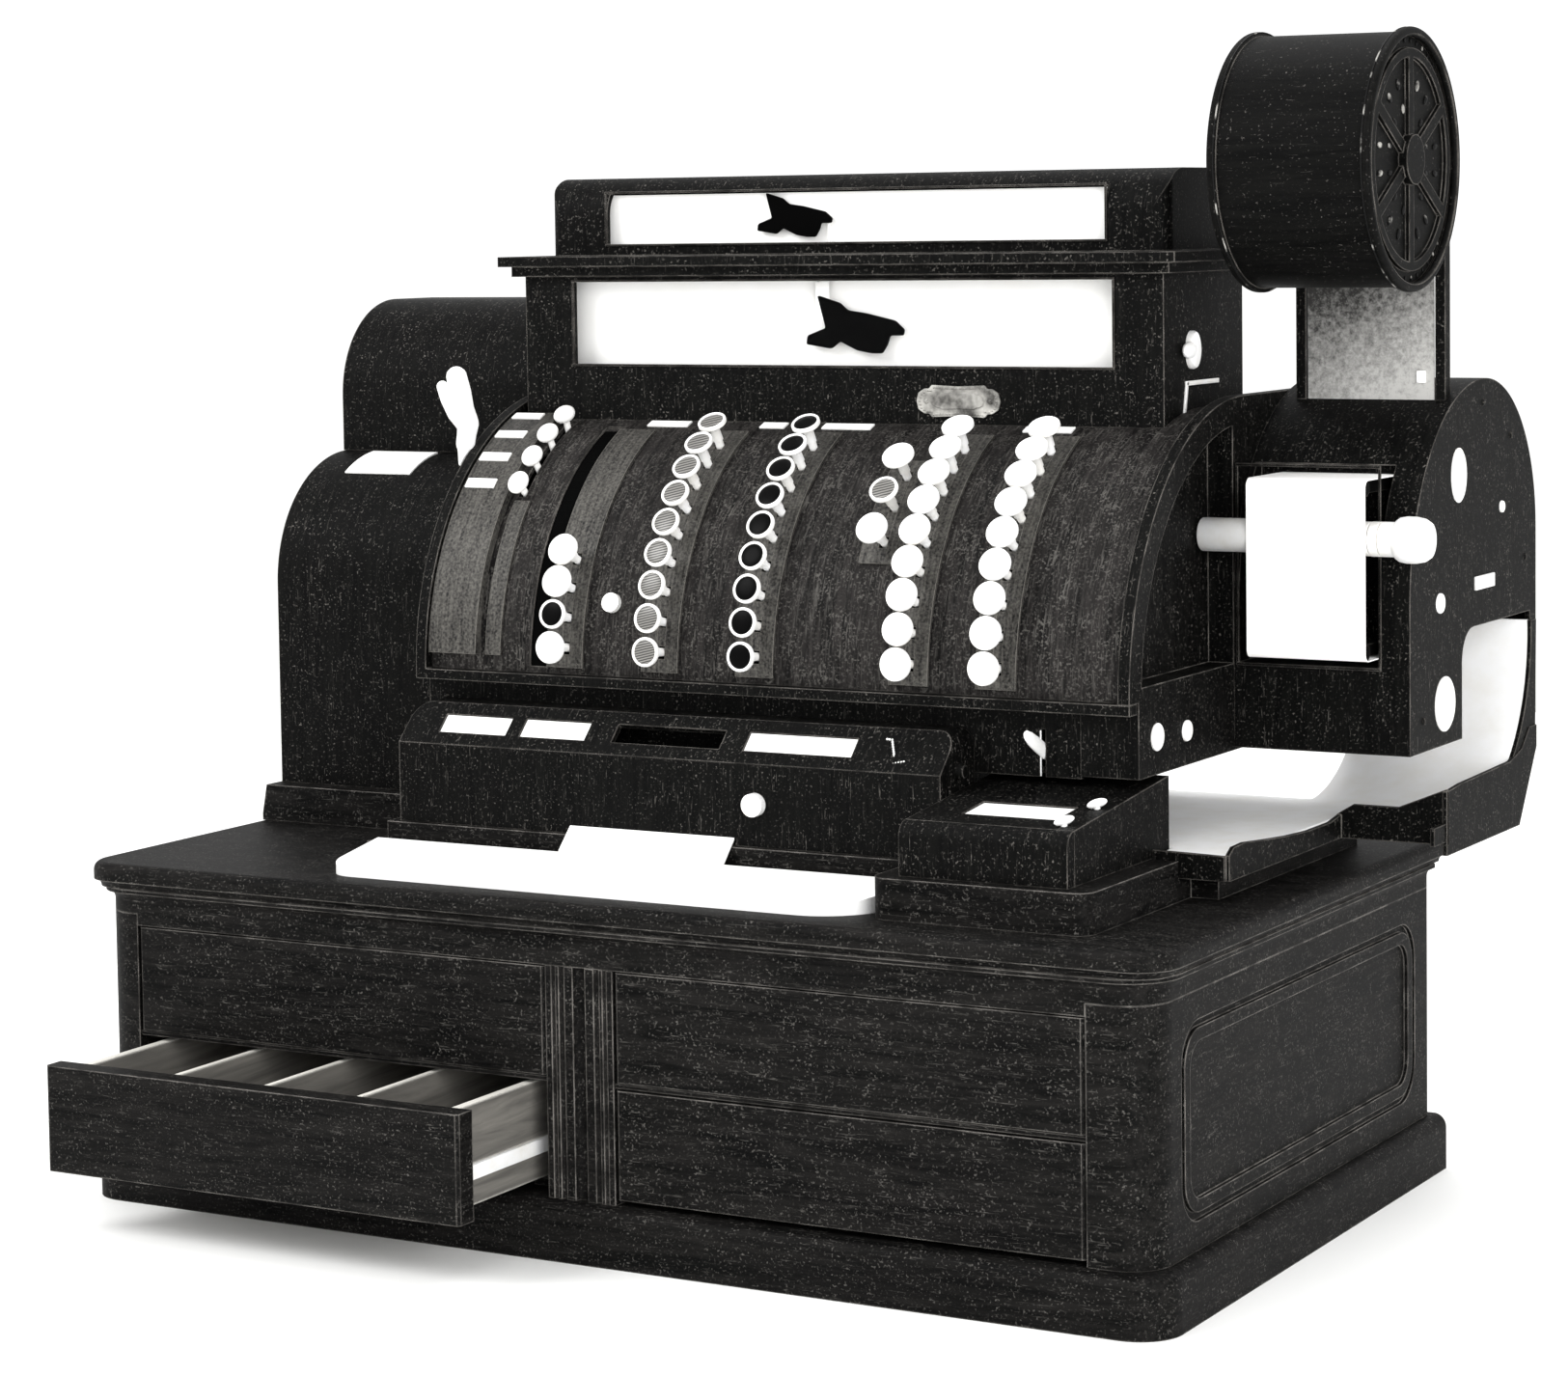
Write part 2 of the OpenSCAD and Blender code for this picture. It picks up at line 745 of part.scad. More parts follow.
module slip_lock() color([0.86, 0.86, 0.84]) {
    head_r = 7.5;
    rod_y(slip_front - 6, slip_front - gap, slip_lock_x, slip_lock_z, head_r);
    rod_y(slip_front - gap - eps, slip_front + slip_wall + 6, slip_lock_x, slip_lock_z, journal_r);
}

// ---------- receipt box ----------

module receipt_section(t, z0) {
    r = 10;
    polygon([[receipt_y0 + r, z0], [receipt_y0 + r, receipt_z(receipt_y0 + r) - t],
        [receipt_y1 - t, receipt_z(receipt_y1 - t) - t], [receipt_y1 - t, z0]]);
    translate([receipt_y0 + t, z0]) square([r - t + eps, receipt_z(receipt_y0 + r) - r - z0]);
    translate([receipt_y0 + r, receipt_z(receipt_y0 + r) - r]) circle(r - t);
}

module receipt_box() color([0.20, 0.11, 0.07]) {
    t = 3;
    difference() {
        along_x(receipt_x0, receipt_x1) receipt_section(0, deck_z);
        along_x(receipt_x0 + t, receipt_x1 - t) receipt_section(t, deck_z - 1);
        block(receipt_win[0], receipt_win[1], receipt_win[2], receipt_win[3], deck_z + 20, deck_z + 60);
    }
}

module receipt_window() color([0.92, 0.91, 0.87])
    along_x(receipt_win[0], receipt_win[1]) polygon([
        for (p = [[2, 2.5], [3, 2.5], [3, 1], [2, 1]])
            [receipt_win[p[0]], receipt_z(receipt_win[p[0]]) - p[1]]]);

// ---------- machine frame ----------

// Section of a frame plate: the key side is round, the rest is square
module frame_section(r, z0, top) {
    difference() {
        union() {
            intersection() {
                translate([kb_y, kb_z]) circle(r);
                translate([kb_y - r, kb_z - 8]) square([r + 1, r + 8]);
            }
            translate([chassis_front + frame_t - 1, z0])
                square([chassis_y1 - chassis_front - frame_t + 1, kb_z - z0]);
            translate([kb_y, z0]) square([chassis_y1 - kb_y, top - z0]);
        }
        translate([kb_y - r - 1, top]) square([2*r + 200, r]);
    }
}

module main_chassis() color([0.10, 0.10, 0.11]) {
    hole_r = 62;
    rod_r = 5;
    rod_place_r = 125;
    roof = tunnel_top - frame_t;
    pivot_x = [slit_x - 9, slit_x + 6];
    difference() {
        union() {
            // front plate, floor, tunnel wall and roof, rear plate and shelf
            block(chassis_x0, post_x - gap, chassis_front, chassis_front + frame_t, roof - 2, chassis_top);
            block(chassis_x0, tunnel_x, chassis_front, chassis_front + frame_t, deck_z, roof);
            block(chassis_x0, tunnel_x, chassis_front, chassis_y1, deck_z, deck_z + frame_t);
            block(tunnel_x - frame_t, tunnel_x, chassis_front, chassis_y1, deck_z, tunnel_top);
            block(tunnel_x - frame_t, side_x0, chassis_front, chassis_y1, roof, tunnel_top);
            block(chassis_x0, tunnel_x, chassis_y1 - frame_t, chassis_y1, deck_z, left_z1 - gap);
            block(tunnel_x - frame_t, side_x0, chassis_y1 - frame_t, chassis_y1, roof, shelf_z);
            block(ind_x0, side_x0, chassis_y1 - frame_t, chassis_y1, left_z1 - 20, shelf_z);
            block(ind_x0, side_x0, ind_back - 30, chassis_y1, shelf_z - frame_t, shelf_z);
            // frame plates between the key banks
            along_x(chassis_x0, kb_x0) difference() {
                frame_section(rib_inner_r, deck_z, left_z1 - gap);
                translate([kb_y - 300, deck_z - 1]) square([chassis_front - kb_y + 300, 100]);
            }
            for (x = FRAME_X) along_x(x, x + frame_t) difference() {
                frame_section(frame_r, x > tunnel_x - frame_t - 1 ? roof : deck_z, shelf_z);
                translate([kb_y, kb_z]) circle(hole_r);
            }
            for (a = [20, 60, 110])
                rod_x(kb_x0 - 1, side_x0, kb_y - rod_place_r*cos(a), kb_z + rod_place_r*sin(a), rod_r);
            // pin of the hand lever
            rod_x(left_x1 + gap, kb_x0 - 1, kb_y, kb_z, lever_pin_r);
            // bracket and pin of the issue lever
            for (x = pivot_x) block(x, x + 3, chassis_front + 1, issue_y + 8, issue_z - 8, issue_z + 8);
            rod_x(pivot_x[0], pivot_x[1] + 3, issue_y, issue_z, issue_pin_r);
        }
        block(post_x - gap, side_x0 + 1, post_front - 1, post_front + 16 + gap, roof - 3, chassis_top + gap);
        block(slit_x - 2, slit_x + 2, chassis_front - 1, chassis_front + frame_t + 1, slit_z0, slit_z1);
    }
}

module issue_lever() color([0.86, 0.86, 0.84]) {
    reach = 61;
    lift = 12;
    bar_h = 8;
    along_x(slit_x - 1.5, slit_x + 1.5) translate([issue_y, issue_z]) difference() {
        union() {
            circle(7);
            rotate(180 - lift) translate([0, -bar_h/2]) square([reach, bar_h]);
            rotate(180 - lift) translate([reach, 0]) circle(5.5);
        }
        circle(issue_pin_r + fit);
    }
}

// ---------- keyboard ----------

module keyboard_frame() color([0.16, 0.10, 0.07]) {
    key_band(rib_inner_r, rib_r, chassis_x0, kb_x0, 0, 80);
    block(chassis_x0, kb_x0, kb_y - rib_r, kb_y - rib_inner_r, chassis_top, kb_z);
    block(kb_x0 - eps, side_x1, kb_y - rib_r, kb_y - frame_r - gap, chassis_top, kb_z);
}

// Angles that a bank's slot spans
function slot_span(a0, a1) = [a0 - 1.5, a1 + 1.5];

// The slots for the stems, cut half_w either side of each bank's middle
module bank_slots(r0, r1, half_slot) {
    full = slot_span(key_angle, key_angle + (bank_keys - 1)*key_pitch);
    short = slot_span(key_angle, key_angle + 3*key_pitch);
    part = slot_span(half_angle, half_angle + 2*half_pitch);
    for (x = [bank_c, bank_d, bank_e, bank_f])
        key_band(r0, r1, x - half_slot, x + half_slot, full[0], full[1]);
    key_band(r0, r1, bank_b - half_slot, bank_b + half_slot, short[0], short[1]);
    key_band(r0, r1, bank_half - half_slot, bank_half + half_slot, part[0], part[1]);
}

module keyboard_cover() color([0.18, 0.11, 0.075]) {
    inner = cover_r - cover_t;
    channel = [bank_b - 29, bank_b + guide_x0];
    stem_slot = stem_r + stem_clear;
    difference() {
        key_band(inner, cover_r, kb_x0, kb_x1, 0, 92);
        key_band(inner - 1, cover_r + 1, ind_x0 - gap, ind_x1 + gap, cover_end, 95);
        key_band(inner - 1, cover_r + 1, kb_x0 - 1, ind_x0, 84, 95);
        bank_slots(inner - 1, cover_r + 1, stem_slot + 1);
        key_band(cover_r - 1.5, cover_r + 1, channel[0], channel[1], guide_a0, guide_a1 + 2);
        key_band(inner - 1, cover_r + 1, control_x - stem_slot, control_x + stem_slot,
            control_angle - 1.5, control_angle + 3*control_pitch + 1.3);
        at_key(lock_x, lock_a) cylinder(h = cover_r + 5, r = journal_r + fit);
    }
}

module key_guides() color([0.50, 0.49, 0.46]) {
    difference() {
        union() {
            for (x = [bank_b, bank_c, bank_d, bank_e, bank_f])
                key_band(cover_r, cover_r + guide_t, x + guide_x0, x + guide_x1, guide_a0, guide_a1);
            key_band(cover_r, cover_r + guide_t, bank_half + guide_x0, bank_half + half_guide_x1,
                half_angle - 5, half_angle + 2*half_pitch + 5);
        }
        bank_slots(cover_r - 1, cover_r + guide_t + 1, stem_r + stem_clear);
    }
}

// The thick index plate beside the left rib, and the thin strip below the control buttons
module index_plates() color([0.52, 0.51, 0.48]) {
    key_band(cover_r, cover_r + index_t, index_x0, index_x1, index_a0, cover_end - 1);
    key_band(cover_r, cover_r + guide_t, control_x - 3, control_x + 9, index_a0, control_angle - 3);
}

// White writing plates: along the top of the keyboard, on the index strip and on the left case
module label_plates() color([0.92, 0.91, 0.87]) {
    card_t = 1.2;
    card_x0 = left_x + 31;
    index_r = cover_r + index_t;
    for (x = [[bank_b + 2, bank_b + 34], [bank_c + 17, bank_c + 36], [bank_d - 7, bank_d + 30],
        [bank_f - 32, bank_f + 3]])
        key_band(cover_r, cover_r + card_t, x[0], x[1], cover_end - 3.4, cover_end - 0.9);
    for (i = [0 : 3]) {
        a = control_angle + 0.4 + i*(control_pitch + 0.2);
        key_band(index_r, index_r + card_t, index_x0 + 2, index_x0 + 25.5, a - 1.2, a + 1.2);
    }
    translate([0, left_front + left_r1, left_z1 - left_r1]) rotate([0, 90, 0]) rotate([0, 0, 270 - 82])
        rotate_extrude(angle = 24) translate([left_r1, card_x0]) square([card_t, 57]);
}

module keyboard_lock() color([0.86, 0.86, 0.84]) at_key(lock_x, lock_a) {
    translate([0, 0, cover_r + gap]) cylinder(h = 4, r = 6.5);
    translate([0, 0, cover_r - 8]) cylinder(h = 8 + gap + eps, r = journal_r);
}

// One key: a round head with a collar, on a straight stem
module key(x, a) {
    collar_h = 6;
    at_key(x, a) {
        translate([0, 0, key_face_r - key_t]) cylinder(h = key_t, r = key_r);
        translate([0, 0, key_face_r - key_t - collar_h]) cylinder(h = collar_h + eps, r = stem_r + 1.5);
        translate([0, 0, inner_key_r]) cylinder(h = key_face_r - key_t - inner_key_r - 1, r = stem_r);
    }
}

function bank_angle(n) = key_angle + (n - 1)*key_pitch;

// One control button: a thick head close to the cover, on a stem
module control_button(n) at_key(control_x, control_angle + (n - 1)*control_pitch) {
    translate([0, 0, button_face_r - button_t]) cylinder(h = button_t, r = button_r);
    translate([0, 0, inner_key_r]) cylinder(h = button_face_r - button_t + 1 - inner_key_r, r = stem_r);
}

module control_key() color([0.93, 0.92, 0.88]) control_button(1);
module transaction_key() color([0.93, 0.92, 0.88]) key(bank_b, bank_angle(1));
module hundreds_key() color([0.55, 0.54, 0.52]) key(bank_c, bank_angle(1));
module tens_key() color([0.07, 0.07, 0.08]) key(bank_d, bank_angle(1));
module units_key() color([0.93, 0.92, 0.88]) key(bank_e, bank_angle(1));
module cents_key() color([0.93, 0.92, 0.88]) key(bank_f, bank_angle(1));

module keys_white() color([0.93, 0.92, 0.88]) {
    for (n = [2 : 4]) control_button(n);
    for (n = [3, 4]) key(bank_b, bank_angle(n));
    for (n = [2 : bank_keys], x = [bank_e, bank_f]) key(x, bank_angle(n));
    for (n = [0, 2]) key(bank_half, half_angle + n*half_pitch);
}

module keys_grey() color([0.55, 0.54, 0.52]) {
    for (n = [2 : bank_keys]) key(bank_c, bank_angle(n));
    key(bank_half, half_angle + half_pitch);
}

module keys_black() color([0.07, 0.07, 0.08]) {
    for (n = [2 : bank_keys]) key(bank_d, bank_angle(n));
    key(bank_b, bank_angle(2));
}

// The cast side frame at the keyboard's right end, with the round hollow that the platen starts from
module case_side_right() color([0.16, 0.10, 0.07]) {
    cove_r = 15;
    foot_z = house_z0 - 2;
    difference() {
        union() {
            along_x(side_x0, kb_x1) side_section(frame_r, foot_z, shelf_z);
            along_x(kb_x1, side_x1) side_section(rib_r, foot_z, kb_z + rib_r);
            block(post_x, side_x0 + 1, post_front, post_front + 16, foot_z, chassis_top);
        }
        intersection() {
            translate([0, kb_y, kb_z]) rotate([0, 90, 0]) rotate_extrude() difference() {
                translate([0, recess_x]) square([rib_inner_r, side_x1 - recess_x + 1]);
                translate([rib_inner_r - cove_r, recess_x + cove_r]) rotate(270) corner_waste(cove_r);
            }
            block(recess_x - 1, side_x1 + 2, kb_y - rib_r, house_front, kb_z + 9, kb_z + rib_r + 20);
        }
        rod_x(side_x0 - 1, side_x1, platen_y, platen_z, journal_r + fit);
    }
}

module side_section(r, z0, top) {
    difference() {
        union() {
            intersection() {
                translate([kb_y, kb_z]) circle(r);
                translate([kb_y - r, kb_z]) square([2*r, r]);
            }
            translate([post_front, z0]) square([chassis_y1 - post_front, kb_z - z0]);
            translate([kb_y, z0]) square([chassis_y1 - kb_y, top - z0]);
        }
        translate([chassis_y1, z0 - 1]) square([r + 50, r + 400]);
        translate([kb_y - r - 1, top]) square([2*r + 200, r]);
    }
}

// ---------- left case ----------

// Section with a round front shoulder of radius r, all drawn in by t
module shoulder_section(y0, y1, z0, z1, r, t) {
    difference() {
        translate([y0 + t, z0]) square([y1 - y0 - 2*t, z1 - t - z0]);
        translate([y0 + r, z1 - r]) rotate(90) corner_waste(r - t);
    }
}

module left_case() color([0.16, 0.10, 0.07])
    difference() {
        along_x(left_x, left_x1) shoulder_section(left_front, machine_back, deck_z, left_z1, left_r1, 0);
        along_x(left_x + case_t, left_x1 - case_t)
            shoulder_section(left_front, machine_back, deck_z - 1, left_z1, left_r1, case_t);
    }

module left_top_case() color([0.16, 0.10, 0.07])
    difference() {
        along_x(left_x, left_top_x1)
            shoulder_section(left_front2, machine_back, left_z1, left_z2, left_r2, 0);
        along_x(left_x + case_t, left_top_x1 - case_t)
            shoulder_section(left_front2, machine_back, left_z1 - 1, left_z2, left_r2, case_t);
    }

// A bar with round ends between two points of Y and Z, each with its own radius
module tapered_bar(a, ra, b, rb) {
    run = b - a;
    reach = norm(run);
    side = [-run[1], run[0]]/reach;
    translate(a) circle(ra);
    translate(b) circle(rb);
    polygon([a + side*ra, a - side*ra, b - side*rb, b + side*rb]);
}

// The hand lever: a hub on its pin, an arm in the groove, and a shaped grip with a thumb catch
module hand_lever() color([0.86, 0.86, 0.84]) {
    arm_w = 12;
    grip_y = kb_y - lever_reach*cos(lever_angle) - 11.5;
    grip_z = kb_z + lever_reach*sin(lever_angle) + 13.6;
    difference() {
        union() {
            rod_x(lever_x - lever_t/2, lever_x + lever_t/2, kb_y, kb_z, 15);
            rotate_about(kb_y, kb_z, 90 - lever_angle)
                block(lever_x - lever_t/2, lever_x + lever_t/2, kb_y - arm_w/2, kb_y + arm_w/2,
                    kb_z + 10, kb_z + lever_reach);
            along_x(lever_x - lever_t/2, lever_x + lever_t/2)
                tapered_bar([grip_y + 7, grip_z - 17], 6, [grip_y, grip_z], 5);
            along_x(lever_x - 7, lever_x + 7) tapered_bar([grip_y, grip_z], 5, [grip_y, grip_z + 33], 9);
            along_x(lever_x - 5, lever_x + 5)
                tapered_bar([grip_y - 3, grip_z + 3], 4, [grip_y - 18, grip_z + 25], 5.5);
        }
        rod_x(lever_x - lever_t, lever_x + lever_t, kb_y, kb_z, lever_pin_r + fit);
    }
}

// ---------- indicator ----------

module indicator_case() color([0.16, 0.10, 0.07])
    difference() {
        block(ind_x0, ind_x1, ind_front, ind_back, shelf_z, ind_top);
        block(ind_x0 + case_t, ind_x1 - case_t, ind_front + case_t, ind_back - case_t, shelf_z - 1,
            ind_top - case_t);
        block(ind_window_x0, ind_window_x1, ind_front - 1, ind_back + 1, ind_window_z,
            ind_window_z + ind_window_h);
        block(tablet_link_x - 3, tablet_link_x + 3, tablet_y - 2, hood_tablet_y + tablet_t + 2,
            ind_top - case_t - 1, ind_top + 1);
        rod_x(ind_x1 - case_t - 1, ind_x1 + 1, turn_y, turn_z, journal_r + fit);
    }

// White boards behind the number tablets, front, back and in the crest
module indicator_board() color([0.92, 0.91, 0.87]) {
    sheet_t = 2;
    crest_y = hood_tablet_y + tablet_t + 2;
    difference() {
        for (y = [board_y, ind_back - case_t - 12])
            block(ind_x0 + case_t, ind_x1 - case_t, y, y + sheet_t, ind_window_z - 12, ind_top - case_t);
        block(tablet_link_x - 3, tablet_link_x + 3, board_y - 1, board_y + sheet_t + 1,
            ind_top - tablet_drop - 1, ind_top);
    }
    block(hood_x0 + case_t, hood_x1 - case_t, crest_y, crest_y + sheet_t, hood_z0,
        hood_window_z + hood_window_h - 1);
}

module indicator_glass() color([0.80, 0.88, 0.88, 0.3]) {
    glass_t = 2;
    for (y = [ind_front + case_t, ind_back - case_t - glass_t])
        block(ind_window_x0 - 5, ind_window_x1 + 5, y, y + glass_t, ind_window_z - 5,
            ind_window_z + ind_window_h);
}

// A number tablet cut out as a pointing hand
module tablet(x, y, z, size)
    along_y(y, y + tablet_t) polygon([for (p = HAND) [x + size*p[0], z + size*p[1]]]);

module indicator_tablets() color([0.05, 0.05, 0.06]) {
    tablet(tablet_link_x - 9, tablet_y, ind_window_z + 8, 1);
    tablet(tablet_link_x - 55, hood_tablet_y, hood_window_z + 3.5, 0.78);
    x0 = tablet_link_x - 2;
    x1 = tablet_link_x + 2;
    step_z = ind_top + 3;
    block(x0, x1, tablet_y, tablet_y + tablet_t, ind_window_z + 41, step_z + 3);
    block(x0, x1, tablet_y, hood_tablet_y + tablet_t, step_z, step_z + 3);
    block(x0, x1, hood_tablet_y, hood_tablet_y + tablet_t, step_z, hood_window_z + 16);
}

module thumb_turn() color([0.86, 0.86, 0.84]) {
    rod_x(ind_x1 - case_t - 4, ind_x1 + gap + eps, turn_y, turn_z, journal_r);
    rod_x(ind_x1 + gap, ind_x1 + 4, turn_y, turn_z, 12.5);
    block(ind_x1 + 4 - eps, ind_x1 + 12, turn_y - 2, turn_y + 2, turn_z - 11, turn_z + 11);
}

// Section of the crest hood, drawn in by t
module hood_section(t, z0) {
    difference() {
        translate([hood_front + t, z0]) square([hood_back - hood_front - 2*t, hood_z0 + hood_h - t - z0]);
        translate([hood_front + hood_r, hood_z0 + hood_h - hood_r]) rotate(90) corner_waste(hood_r - t);
        translate([hood_back - hood_r, hood_z0 + hood_h - hood_r]) corner_waste(hood_r - t);
    }
}

module crest_hood() color([0.16, 0.10, 0.07]) {
    out = cornice_out;
    bed = 7;
    mouth = [hood_x0 + 8, hood_x1 - 8];
    cover_z = hood_z0 - 4;
    difference() {
        union() {
            block(ind_x0 - out/2, ind_x1 + out/2, ind_front - out/2, ind_back + out/2, ind_top,
                ind_top + bed);
            block(ind_x0 - out, ind_x1 + out, ind_front - out, ind_back + out, ind_top + bed - eps, hood_z0);
            intersection() {
                along_x(hood_x0, hood_x1) hood_section(0, hood_z0 - eps);
                translate([0, 0, hood_z0 - 1]) linear_extrude(hood_h + 2)
                    front_round_plan(hood_x0, hood_x1, hood_front, hood_back, hood_corner_r);
            }
        }
        along_x(hood_x0 + case_t, hood_x1 - case_t) hood_section(case_t, hood_z0 - 1);
        block(mouth[0], mouth[1], tablet_y - 4, hood_back - 8, ind_top - 1, cover_z);
        block(mouth[0], mouth[1], hood_front + case_t, hood_back - 8, cover_z - eps, hood_z0 + 2);
        block(hood_window_x0, hood_window_x1, hood_front - 1, hood_front + 13, hood_window_z,
            hood_window_z + hood_window_h);
    }
}

// ---------- printer housing ----------

// Section of the housing, drawn in by t
module house_section(t, z0) {
    difference() {
        translate([house_front + t, z0]) square([house_back - house_front - 2*t, house_top - t - z0]);
        translate([house_y1, house_top - house_r1]) rotate(90) corner_waste(house_r1 - t);
        translate([house_y2, house_top - house_r2]) corner_waste(house_r2 - t);
    }
}

module journal_case() color([0.16, 0.10, 0.07]) {
    t = case_t;
    ear_x = bay_x1 + 1;
    notch_r = 22;
    difference() {
        union() {
            difference() {
                along_x(side_x1, house_x1) house_section(0, house_z0);
                along_x(side_x1 + t, house_x1 - t) house_section(t, house_z0 + t);
                block(side_x1 + t, house_x1 - t, notch_y - 8, house_back - t, house_z0 - 1, house_z0 + t + 1);
            }
            intersection() {
                along_x(side_x1, house_x1) house_section(0, house_z0);
                block(side_x1 + 1, bay_x1 + t, house_front, bay_back + t, bay_z0 - t, bay_z1 + t);
            }
            along_x(ear_x, ear_x + ear_t) {
                translate([platen_y, platen_z]) circle(9);
                translate([platen_y, platen_z - 9]) square([house_front + 12 - platen_y, 18]);
            }
        }
        block(bay_x0, bay_x1, house_front - 1, bay_back, bay_z0, bay_z1);
        along_x(house_x1 - t - 1, house_x1 + 1) difference() {
            translate([notch_y, house_z0 - 1]) square([house_back - 12 - notch_y, notch_top - house_z0 + 1]);
            translate([notch_y + notch_r, notch_top - notch_r]) rotate(90) corner_waste(notch_r);
        }
        rod_x(bay_x1 - 1, ear_x + ear_t + 1, platen_y, platen_z, journal_r + fit);
    }
    // the dark cheek beside the chute
    along_x(house_x1, house_x1 + 3) difference() {
        polygon([[platform_jog + 150, chute_z], [platform_jog + 150, chute_z - 12], [263, chute_z - 12],
            [house_back - 10, chute_z + 40], [house_back - 8, chute_top], [chute_y + chute_r, chute_top]]);
        translate([chute_y, chute_z + chute_r]) circle(chute_r);
        translate([0, chute_z]) square([chute_y, 200]);
    }
}

// Two guide rods on a pair of cheeks, which lead the web round the platen
module web_guide() color([0.30, 0.30, 0.31]) {
    cheek_t = 4;
    inset = 6;
    rod_y0 = web_front + web_t + guide_r;
    for (z = [web_z0 + web_t + guide_r, web_z1 - web_t - guide_r]) {
        rod_x(web_x0 + 1, web_x1 - 1, rod_y0, z, guide_r);
        for (x = [web_x0 + inset, web_x1 - inset - cheek_t])
            block(x, x + cheek_t, rod_y0, bay_back, z - 4, z + 4);
    }
}

// The section of the web that shows: in over the top rod, down the front and out under the lower rod
module web_section() {
    r = guide_r + web_t;
    difference() {
        translate([web_front, web_z0]) square([bay_back - web_front, web_z1 - web_z0]);
        translate([web_front + r, web_z1 - r]) rotate(90) corner_waste(r);
        translate([web_front + r, web_z0 + r]) rotate(180) corner_waste(r);
        difference() {
            translate([web_front + web_t, web_z0 + web_t]) square([bay_back, web_z1 - web_z0 - 2*web_t]);
            translate([web_front + r, web_z1 - r]) rotate(90) corner_waste(guide_r);
            translate([web_front + r, web_z0 + r]) rotate(180) corner_waste(guide_r);
        }
    }
}

module paper_web() color([0.93, 0.92, 0.88]) {
    along_x(web_x0, web_x1) web_section();
    difference() {
        block(supply_x0, supply_x1, supply_y, supply_y + web_t, house_top - 40,
            drum_z - sqrt(pow(drum_r + gap, 2) - pow(supply_y - drum_y, 2)));
        along_x(supply_x0 - 30, supply_x1 + 30) house_section(0, house_z0);
    }
}

module platen() color([0.86, 0.86, 0.84]) {
    knob_x = bay_x1 + ear_t + 2;
    rod_x(recess_x + 2, bay_x1, platen_y, platen_z, platen_r);
    rod_x(side_x0 + 1, knob_x + eps, platen_y, platen_z, journal_r);
    difference() {
        rod_x(knob_x, knob_x + 24, platen_y, platen_z, knob_r);
        for (i = [0 : 23]) rotate_about(platen_y, platen_z, i*15)
            rod_x(knob_x + 3, knob_x + 21, platen_y, platen_z + knob_r, 1);
    }
    rod_x(knob_x + 24 - eps, knob_x + 33, platen_y, platen_z, 9);
}

// Turned by an angle about an axis along X
module rotate_about(y, z, a) {
    translate([0, y, z]) rotate([a, 0, 0]) translate([0, -y, -z]) children();
}

// Bright caps and plates on the right faces: place from the housing's back and underside, radius
module side_caps() color([0.86, 0.86, 0.84]) {
    cap_t = 2;
    for (c = [[-156, 175, 18], [-184, 27, 18], [-72, 148, 4], [-191, 93, 7]])
        rod_x(house_x1, house_x1 + cap_t, house_back + c[0], house_z0 + c[1], c[2]);
    block(house_x1, house_x1 + cap_t, house_back - 126, house_back - 90, house_z0 + 96, house_z0 + 105);
    for (c = [[23, -24, 9], [71, -26, 7]])
        rod_x(side_x1, side_x1 + cap_t, chassis_front + c[0], kb_z + c[1], c[2]);
}

// ---------- paper drum ----------

module at_drum() {
    translate([0, drum_y, drum_z]) rotate([0, 90, 0]) children();
}

module drum_shell() color([0.15, 0.095, 0.07]) {
    t = 2;
    w = drum_rim_w;
    difference() {
        at_drum() rotate_extrude() {
            translate([drum_r - t, drum_x0]) square([t, drum_x1 - drum_x0]);
            translate([0, drum_x0 + 2]) square([drum_r - 1, 3]);
            translate([0, drum_x0 + 2]) square([spindle_r, drum_x1 - drum_x0 - w - 6]);
            for (x = [drum_x0 + w/2, drum_x1 - w/2]) {
                translate([drum_rim_r - w/2, x]) circle(w/2);
                translate([drum_r - t, x - w/2]) square([drum_rim_r - w/2 - drum_r + t, w]);
            }
        }
        block(supply_x0 - 1, supply_x1 + 1, drum_y + drum_r/2, drum_y + drum_r + 1, drum_z - 45, drum_z - 25);
    }
}

module drum_cap() color([0.13, 0.085, 0.065]) {
    face = drum_x1 - drum_rim_w;
    r = drum_r - 2 - gap;
    at_drum() {
        translate([0, 0, face - 4]) cylinder(h = 4, r = r);
        translate([0, 0, face - eps]) cylinder(h = 6, r = 16);
        translate([0, 0, face - eps]) difference() {
            cylinder(h = 3, r = r - 8);
            translate([0, 0, -1]) cylinder(h = 5, r = r - 14);
        }
        for (a = [0 : 60 : 300]) rotate([0, 0, a]) translate([12, -4, face - eps]) cube([r - 24, 8, 3]);
    }
}

module paper_roll() color([0.80, 0.78, 0.70])
    at_drum() difference() {
        translate([0, 0, supply_x0]) cylinder(h = supply_x1 - supply_x0, r = roll_r);
        translate([0, 0, supply_x0 - 1]) cylinder(h = supply_x1 - supply_x0 + 2, r = spindle_r + fit);
    }

module drum_posts() color([0.12, 0.08, 0.06])
    difference() {
        for (x = [post_x0, post_x1]) block(x, x + post_w, post_y0, post_y0 + post_d, house_top - 40, drum_z);
        along_x(post_x0 - 1, drum_x1 + 1) house_section(0, house_z0);
        rod_x(post_x0 - 1, drum_x0 + drum_rim_w + gap, drum_y, drum_z, drum_rim_r + gap);
        rod_x(post_x0 - 1, post_x1 + post_w + 1, drum_y, drum_z, drum_r + gap);
    }

// ---------- chute ----------

